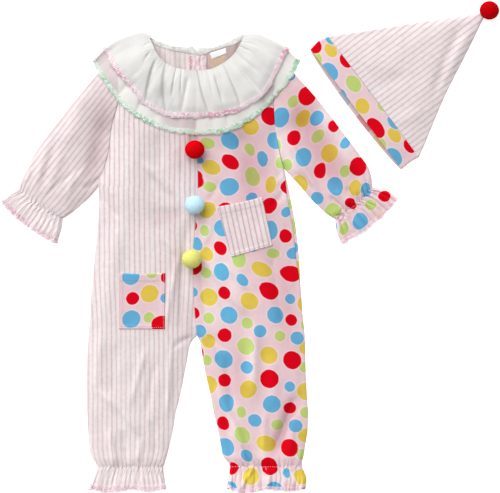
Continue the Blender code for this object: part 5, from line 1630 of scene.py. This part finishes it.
def yarn_material(name, colour, shade, scale=260.0, pale=None):
    """Yarn: its colour runs between two tones, finely mottled, with a fuzzy bump, and fades
    to a paler tone in places."""
    do = Nodes(name, 0.9)
    place = do.made_place()
    speck = do.noise(place, scale * 6, 1.0)
    share = do.spread(speck, 0.5, do.times(do.noise(place, scale, 3.0), 0.6))
    result = do.mixed(do.eased(share, 0.4, 0.7), colour, shade)
    if pale:
        washed = do.times(do.eased(do.noise(place, 24.0, 1.0), 0.4, 0.6), 0.8)
        flecks = do.times(do.eased(do.noise(place, 240.0, 1.0), 0.46, 0.58), 0.95)
        result = do.mixed(do.maths("MAXIMUM", washed, flecks), result, pale)
    return do.finished(result, speck, 0.4, 0.0003)


def placket_material(name, colour, tint, seam):
    """Plain cloth with two rows of darker zigzag stitching down it."""
    do = Nodes(name)
    place = do.cut_place()
    parts = do.split(place)
    result = do.mixed(do.eased(do.noise(place, 130.0), 0.35, 0.65), colour, tint)
    across = do.maths("ADD", parts[0], do.maths("PINGPONG", parts[1], ZIGZAG * MM))
    for start, strength in PLACKET_SEAMS.items():
        off = do.maths("ABSOLUTE", do.maths("SUBTRACT", across, (start + ZIGZAG / 2) * MM))
        result = do.mixed(do.times(do.fading(off, *SEAM_FADE), strength), result, seam)
    return do.woven(result, place, 0.1, 0.06)


STRIPE_LINE = rgb(211, 175, 184)
DOT_GROUND = rgb(231, 201, 206)
DOT_RIM = rgb(244, 228, 230)
DOT_COLOURS = {
    "yellow": rgb(222, 192, 78), "green": rgb(187, 206, 118),
    "blue": rgb(100, 172, 212), "red": rgb(219, 0, 25),
}
# the cloth's wrong side, duller than its right side, and darkened further by painted shade where it shows
# in the shadow inside the neck
WRONG_SIDE_SHADED = rgb(196, 172, 171)
HAT_INSIDE = rgb(224, 202, 204)
# where the lower tier lies closest on the cloth below it: from x to x, and how softly it starts
SHEER_PATCHES = [(-230.0, -184.0, 4.0), (-122.0, -75.6, 9.0), (14.0, 34.0, 8.0)]


def faded(share):
    """The dots' colours as they show through to the wrong side, mixed with its colour and so with its
    painted shade.
    """
    return {
        name: tuple(mix(a, b, share) for a, b in zip(colour, WRONG_SIDE_SHADED))
        for name, colour in DOT_COLOURS.items()
    }


striped_cloth = striped_material("striped_cloth", rgb(235, 226, 225), STRIPE_LINE, 0.80, 60.0)
striped_sleeve = striped_material("striped_cloth_sleeve", rgb(234, 224, 224), STRIPE_LINE, 0.77)
striped_hat = striped_material("striped_cloth_hat", rgb(236, 227, 226), STRIPE_LINE, 0.70)
striped_pocket = striped_material("striped_cloth_pocket", rgb(234, 222, 222), STRIPE_LINE, 1.25)
# the wrong sides carry the painted shade of the wrong side's colour
striped_back = striped_material("striped_cloth_back", rgb(233, 222, 220), WRONG_SIDE_SHADED, 0.25)
dotted_cloth = dotted_material("dotted_cloth", DOT_GROUND, DOT_COLOURS)
dotted_back = dotted_material("dotted_cloth_back", WRONG_SIDE_SHADED, faded(0.62), 0.7)
dotted_inside = dotted_material("dotted_cloth_inside", HAT_INSIDE, faded(0.3), 0.6)
collar_cloth = plain_cloth("collar_cloth", rgb(228, 227, 224), rgb(222, 221, 218), knit=VOILE)
collar_sheer = sheer_cloth("collar_cloth_lower", rgb(238, 235, 231), rgb(217, 201, 203))
pink_trim, green_trim, cuff_trim = (
    yarn_material(name, rgb(*colour), rgb(*shade), 200.0, rgb(*pale))
    for name, colour, shade, pale in (
        ("pink_trim", (240, 200, 213), (229, 172, 191), (248, 238, 241)),
        ("green_trim", (200, 228, 206), (172, 212, 184), (236, 243, 236)),
        ("cuff_trim", (244, 214, 223), (238, 199, 211), (250, 235, 240)),
    )
)
PLACKET_COLOURS = (rgb(238, 226, 227), rgb(228, 197, 203), rgb(200, 142, 155))
placket_cloth = placket_material("placket_cloth", *PLACKET_COLOURS)
binding_cloth = plain_cloth("binding_cloth", rgb(236, 235, 232), rgb(214, 213, 210), 180.0)
label_tape = plain_cloth("label_tape", rgb(246, 246, 246), rgb(238, 238, 238), 60.0, 1600.0, 0.6)
white_thread = yarn_material("white_thread", rgb(244, 234, 236), rgb(232, 214, 218))
red_yarn = yarn_material("red_yarn", rgb(234, 0, 17), rgb(220, 0, 13), 300.0)
blue_yarn = yarn_material("blue_yarn", rgb(220, 246, 255), rgb(210, 241, 255), 300.0)
hat_yarn = yarn_material("red_yarn_hat", rgb(214, 0, 15), rgb(201, 0, 11), 300.0)
yellow_yarn = yarn_material("yellow_yarn", rgb(241, 241, 150), rgb(235, 233, 130), 300.0)

# ---------------------------------------------------------------- making the romper
BODY = {
    "striped": (STRIPED, STRIPED_LEG_GATHERS, STRIPED_CREASES, (striped_cloth, striped_back), None),
    "dotted": (DOTTED, DOTTED_LEG_GATHERS, DOTTED_CREASES, (dotted_cloth, dotted_back), BODY_LAY),
}
SLEEVES = {
    "striped": (STRIPED_SLEEVE, STRIPED_CUFF_GATHERS, STRIPED_SLEEVE_CREASES, STRIPED),
    "dotted": (DOTTED_SLEEVE, DOTTED_CUFF_GATHERS, DOTTED_SLEEVE_CREASES, DOTTED),
}
# bands of painted shade and highlight on each half's front and on its sleeve
SHADE_BANDS = {
    "striped": (STRIPED_SHADE_BANDS, STRIPED_SLEEVE_SHADE_BANDS),
    "dotted": (DOTTED_SHADE_BANDS, DOTTED_SLEEVE_SHADE_BANDS),
}
FRONT_SEED, SLEEVE_SEED, EDGING_SEED, ELASTIC_SEED = 11, 21, 40, 60
TIER_SEED, TRIM_SEED, POCKET_STITCH_SEED, POMPOM_SEED = 71, 81, 90, 101
CONE_SEED, BAND_SEED = 31, 33
panels = {}
tubes = {}


def on_pattern(points, lay, pulls=()):
    return full_leg(points) if lay is None else laid(pulled(points, pulls), lay)


def full_leg(points):
    """The striped leg's cloth, which small folds draw in across."""
    more = LEG_FULLNESS * (1 - smoothstep(LEG_FULL_FROM - 90, LEG_FULL_FROM, points[..., 1]))
    wide = points.copy()
    wide[..., 0] += (points[..., 0] - LEG_MIDDLE) * more
    return wide


def make_fronts():
    for number, (kind, (half, gathers, creases, cloth, lay)) in enumerate(BODY.items()):
        hem = STRIPED_HEM if kind == "striped" else DOTTED_HEM
        top, cut, at, marks = front_panel(half, gathers, creases, hem, FRONT_SEED + number)
        panels[kind] = (top, at, marks)
        form = panel_wall(top, on_pattern(cut, lay, BODY_PULLS))
        piece = new_piece(f"front_{kind}", form, cloth, f"{kind}_cloth", f"body_front_{kind}")
        # paints shade and highlight from the bands into the front's colour
        tone(piece, SHADE_BANDS[kind][0])
        going = (f"leg_edging_{kind}", f"leg_elastic_stitching_{kind}")
        note_sheet(piece, cut, "laid", f"back_{kind}", *going)


def make_backs():
    for kind, (half, _, _, cloth, lay) in BODY.items():
        form, cut = back_panel(half)
        form = form._replace(cut=on_pattern(form.cut, BACK_LAY if lay else None))
        piece = new_piece(f"back_{kind}", form, cloth, f"{kind}_cloth", f"body_back_{kind}")
        note_sheet(piece, cut, "laid", "floor", *(["label"] if kind == "dotted" else []))


def sleeve_lay(kind, crossings):
    """The dots' place on the sleeve, or stripes that run down it."""
    if kind == "dotted":
        return SLEEVE_LAY
    first, last = crossings[0], crossings[SLEEVE_ELASTIC_ROW - 1]
    run_x = (last.upper_x + last.lower_x - first.upper_x - first.lower_x) / 2
    run_y = (last.upper_y + last.lower_y - first.upper_y - first.lower_y) / 2
    return striped_lay(run_x, run_y, SLEEVE_STRIPE_SCALE, first.upper_x, first.upper_y, 2.0)


def make_sleeves():
    for number, (kind, (crossings, gathers, creases, half)) in enumerate(SLEEVES.items()):
        armhole = [(point.x + half.side * SLEEVE_SIDE, point.y) for point in half.outer[: ARMPIT_ROW + 1]]
        seam_row = Crossing(*armhole[0], *armhole[-1], 0, 1.0, 0)
        top, form, cut, at, marks = tube_form(
            [seam_row] + crossings, half.side, yoke_lift, creases, gathers, Line(armhole),
            SLEEVE_ELASTIC_ROW, SLEEVE_CUT_ROW, seed=SLEEVE_SEED + number,
        )
        tubes[kind] = (top, at, marks)
        pulls = SLEEVE_PULLS if kind == "dotted" else ()
        form = form._replace(cut=on_pattern(form.cut, sleeve_lay(kind, crossings), pulls))
        cloth = (striped_sleeve, striped_back) if kind == "striped" else BODY[kind][3]
        slot = f"{kind}_cloth"
        piece = new_piece(f"sleeve_{slot}", form, cloth, slot, f"sleeve_{kind}")
        # paints shade and highlight from the bands into the sleeve's colour
        tone(piece, SHADE_BANDS[kind][1])
        going = (f"cuff_edging_{kind}", f"cuff_elastic_stitching_{kind}")
        note_sheet(piece, cut[:, : top.shape[1]], "laid", "floor", *going, layers=2)


PICOT_LIFT, HEM_PICOT_LIFT = 0.15, -0.35
# Pitch, length and half the thickness of stitches
ELASTIC_STITCH, POCKET_STITCH = (2.6, 1.9, 0.28), (2.7, 2.0, 0.24)
# Rows of loops over a hem: row of the grid, pitch, reach and thickness of the yarn
PICOTS = [(-1, 2.3, 1.9, 0.6), (-1, 3.1, 2.6, 0.55), (-3, 2.6, 2.3, 0.45)]
STRIPED_PICOTS = [(-5, 2.6, 2.4, 0.42)]
STRIPED_LEG_PICOTS = [(-6, 2.8, 2.2, 0.4), (-7, 3.1, 2.2, 0.4)]


def edging_along(top, row, pitch, reach, yarn, seed):
    """Picot loops along a row at the hem of a grid."""
    outward = top[-1] - top[-3]
    path = top[row] + np.array([0, 0, HEM_PICOT_LIFT if row == -1 else PICOT_LIFT])
    return yarn_loops(path, outward, pitch, reach, yarn, seed)


def make_edgings():
    """Picot edgings, worked over the hem, and elastic stitching of the legs and cuffs."""
    for number, (kind, (top, at, marks)) in enumerate(list(panels.items()) + list(tubes.items())):
        part = "leg" if number < 2 else "cuff"
        elastic = marks[LEG_ELASTIC_ROW if part == "leg" else SLEEVE_ELASTIC_ROW]
        rows = list(PICOTS)
        if kind == "striped":
            rows += STRIPED_PICOTS + (STRIPED_LEG_PICOTS if part == "leg" else [])
        loops = [edging_along(top, *row, EDGING_SEED + 7 * number + row[0]) for row in rows]
        new_piece(f"{part}_edging_{kind}", joined(loops), [cuff_trim], "pink_trim")
        row = int(np.argmin(np.abs(at - elastic - 0.4)))
        path = top[row] + np.array([0, 0, 0.12])
        stitches = stitch_row(path, *ELASTIC_STITCH, ELASTIC_SEED + number)
        name = f"{part}_elastic_stitching_{kind}"
        new_piece(name, stitches, [white_thread], f"{kind}_cloth")


def make_neck():
    for name, (form, cut), cloth, slot, node in (
        ("binding", binding_form(), binding_cloth, "collar_cloth", "neck_binding"),
        ("placket", placket_form(), placket_cloth, "placket_cloth", "back_placket"),
    ):
        piece = new_piece(name, form, [cloth], slot, node)
        note_sheet(piece, cut, "folded", "back_striped")
    new_piece("label", label_form(), [label_tape], "label_tape", "neck_label")


def make_collar():
    """Lower tier and its trim, then the upper tier and its trim on top of them."""
    under = [grid[::2, ::2] for grid, *_ in list(panels.values()) + list(tubes.values())]
    for number, (size, tier, grooves, cloth, trim_name, trim) in enumerate((
        ("lower", LOWER_TIER, LOWER_GROOVES, collar_sheer, "trim_green", green_trim),
        ("upper", UPPER_TIER, UPPER_GROOVES, collar_cloth, "trim_pink", pink_trim),
    )):
        surface = surface_of(under)
        end = TRIM_SHARE[size]
        cloth_shares = np.linspace(0, end + TIER_OVERLAP, TIER_SHARES)
        middle, way = tier_grid(tier, grooves, surface, cloth_shares, TIER_SEED + number)
        form, node = tier_wall(middle, way, COLLAR_WALL), f"collar_{size}"
        piece = new_piece(f"{node}_tier", form, [cloth], "collar_cloth", node)
        under = under + [(middle + way * COLLAR_WALL / 2)[:, ::3]]
        trim_shares = np.linspace(end, 1.0, 5)
        middle, way = tier_grid(tier, grooves, surface, trim_shares, TIER_SEED + number)
        crochet = trim_form(middle, way, TRIM_SEED + number)
        slot = trim_name.split("_")[1] + "_trim"
        new_piece(f"{trim_name}_crochet", crochet, [trim], slot, trim_name)
        under = under + [(middle + way * TRIM_THICK)[:, ::3]]


def make_pockets():
    for kind, under_kind, corners, cloth in (
        ("dotted", "striped", DOTTED_POCKET, (dotted_cloth, dotted_back)),
        ("striped", "dotted", STRIPED_POCKET, (striped_pocket, striped_back)),
    ):
        top, under, plan = pocket_grid(corners, surface_of([panels[under_kind][0]]))
        if kind == "dotted":
            cut = on_pattern(plan, POCKET_LAY, POCKET_PULLS)
        else:
            run_x, run_y = corners[2].x - corners[1].x, corners[2].y - corners[1].y
            cut = laid(plan, striped_lay(run_x, run_y, 1.0, corners[0].x, corners[0].y, 3.0))
        form, node = wall(top, under, cut), f"pocket_{kind}"
        piece = new_piece(f"patch_{node}", form, cloth, f"{kind}_cloth", node)
        note_sheet(piece, plan, "laid", f"front_{under_kind}", f"pocket_stitching_{kind}")
        lift = np.array([0, 0, 0.1])
        depth = length_marks([corners[0], corners[3]])[-1]
        hem_row = round(POCKET_HEM / depth * (POCKET_ROWS - 1))
        paths = (top[:, 2], top[:, -3], top[-3], top[hem_row])
        rows = [stitch_row(path + lift, *POCKET_STITCH, POCKET_STITCH_SEED) for path in paths]
        name = f"pocket_stitching_{kind}"
        new_piece(name, joined(rows), [white_thread], f"{kind}_cloth")


def make_pompoms():
    for number, (name, yarn, slot) in enumerate((
        ("pompom_red", red_yarn, "red_yarn"), ("pompom_blue", blue_yarn, "blue_yarn"),
        ("pompom_yellow", yellow_yarn, "yellow_yarn"), ("hat_pompom", hat_yarn, "red_yarn"),
    )):
        new_piece(f"{name}_yarn", pompom_form(name, POMPOM_SEED + number), [yarn], slot, name)


def flat_floor(x, _):
    return np.zeros_like(x)


def make_hat():
    top, form, cut, *_ = tube_form(
        HAT_CONE, 1, flat_floor, HAT_CREASES, seed=CONE_SEED, row_step=2.4,
    )
    first = HAT_CONE[0]
    lay = striped_lay(*HAT_STRIPE_RUN, HAT_STRIPE_SCALE, first.upper_x, first.upper_y, 3.0)
    form = form._replace(cut=laid(form.cut, lay))
    cloth = (striped_hat, striped_back)
    piece = new_piece("hat_cone_cloth", form, cloth, "striped_cloth", "hat_cone")
    note_sheet(piece, cut[:, : top.shape[1]], "laid", "floor", layers=2)
    top, form, cut, *_ = tube_form(
        HAT_BAND, -1, flat_floor, [], seed=BAND_SEED, row_step=1.6, under_reach=HAT_UNDER_REACH,
    )
    form = form._replace(cut=on_pattern(form.cut, BAND_LAY, BAND_PULLS))
    cloth = (dotted_cloth, dotted_inside)
    piece = new_piece("hat_band_cloth", form, cloth, "dotted_cloth", "hat_band")
    note_sheet(piece, cut[:, : top.shape[1]], "laid", "floor", layers=2)


make_fronts()
make_backs()
make_sleeves()
make_edgings()
make_neck()
make_collar()
make_pockets()
make_pompoms()
make_hat()


# ---------------------------------------------------------------- floor, light and camera
FIELD_WIDTH = 0.7
CAMERA_HEIGHT = 4.0
CAMERA_Y = -0.0007
SENSOR = 36.0
WORLD_STRENGTH, FLOOR_GLOW = 0.40, 0.7
KEY_STRENGTH, KEY_SPREAD, KEY_WAY = 3.15, 60, (0.5, -0.8, -0.72)
FLOOR_DROP = 0.0003


def floor_material():
    """A light table, so that what lies on it throws hardly any shadow."""
    do = Nodes("floor", 0.7)
    pale = do.mixed(do.noise(do.made_place(), 3.0), rgb(246, 246, 246), rgb(250, 250, 250))
    for socket in ("Base Color", "Emission Color"):
        do.tree.links.new(pale, do.shader.inputs[socket])
    do.shader.inputs["Emission Strength"].default_value = FLOOR_GLOW
    return do.material


def make_stage():
    work = bmesh.new()
    bmesh.ops.create_grid(work, x_segments=4, y_segments=4, size=4.0)
    mesh = bpy.data.meshes.new("floor")
    work.to_mesh(mesh)
    work.free()
    mesh.materials.append(floor_material())
    floor = bpy.data.objects.new("floor", mesh)
    floor.location.z = -FLOOR_DROP
    bpy.context.scene.collection.objects.link(floor)


def make_light():
    world = bpy.data.worlds.new("studio")
    bpy.context.scene.world = world
    world.use_nodes = True
    background = world.node_tree.nodes["Background"]
    background.inputs["Color"].default_value = (1.0, 1.0, 1.0, 1.0)
    background.inputs["Strength"].default_value = WORLD_STRENGTH
    key = bpy.data.lights.new("key", "SUN")
    key.energy = KEY_STRENGTH
    key.angle = math.radians(KEY_SPREAD)
    lamp = bpy.data.objects.new("key", key)
    lamp.rotation_euler = Vector(KEY_WAY).to_track_quat("-Z", "Y").to_euler()
    bpy.context.scene.collection.objects.link(lamp)
    bpy.context.scene.view_settings.view_transform = "Standard"


def make_camera():
    camera = bpy.data.cameras.new("camera")
    camera.sensor_width = SENSOR
    camera.lens = SENSOR * CAMERA_HEIGHT / FIELD_WIDTH
    camera.clip_end = 50.0
    eye = bpy.data.objects.new("camera", camera)
    eye.location = (0.0, CAMERA_Y, CAMERA_HEIGHT)
    bpy.context.scene.collection.objects.link(eye)
    bpy.context.scene.camera = eye


make_stage()
make_light()
make_camera()
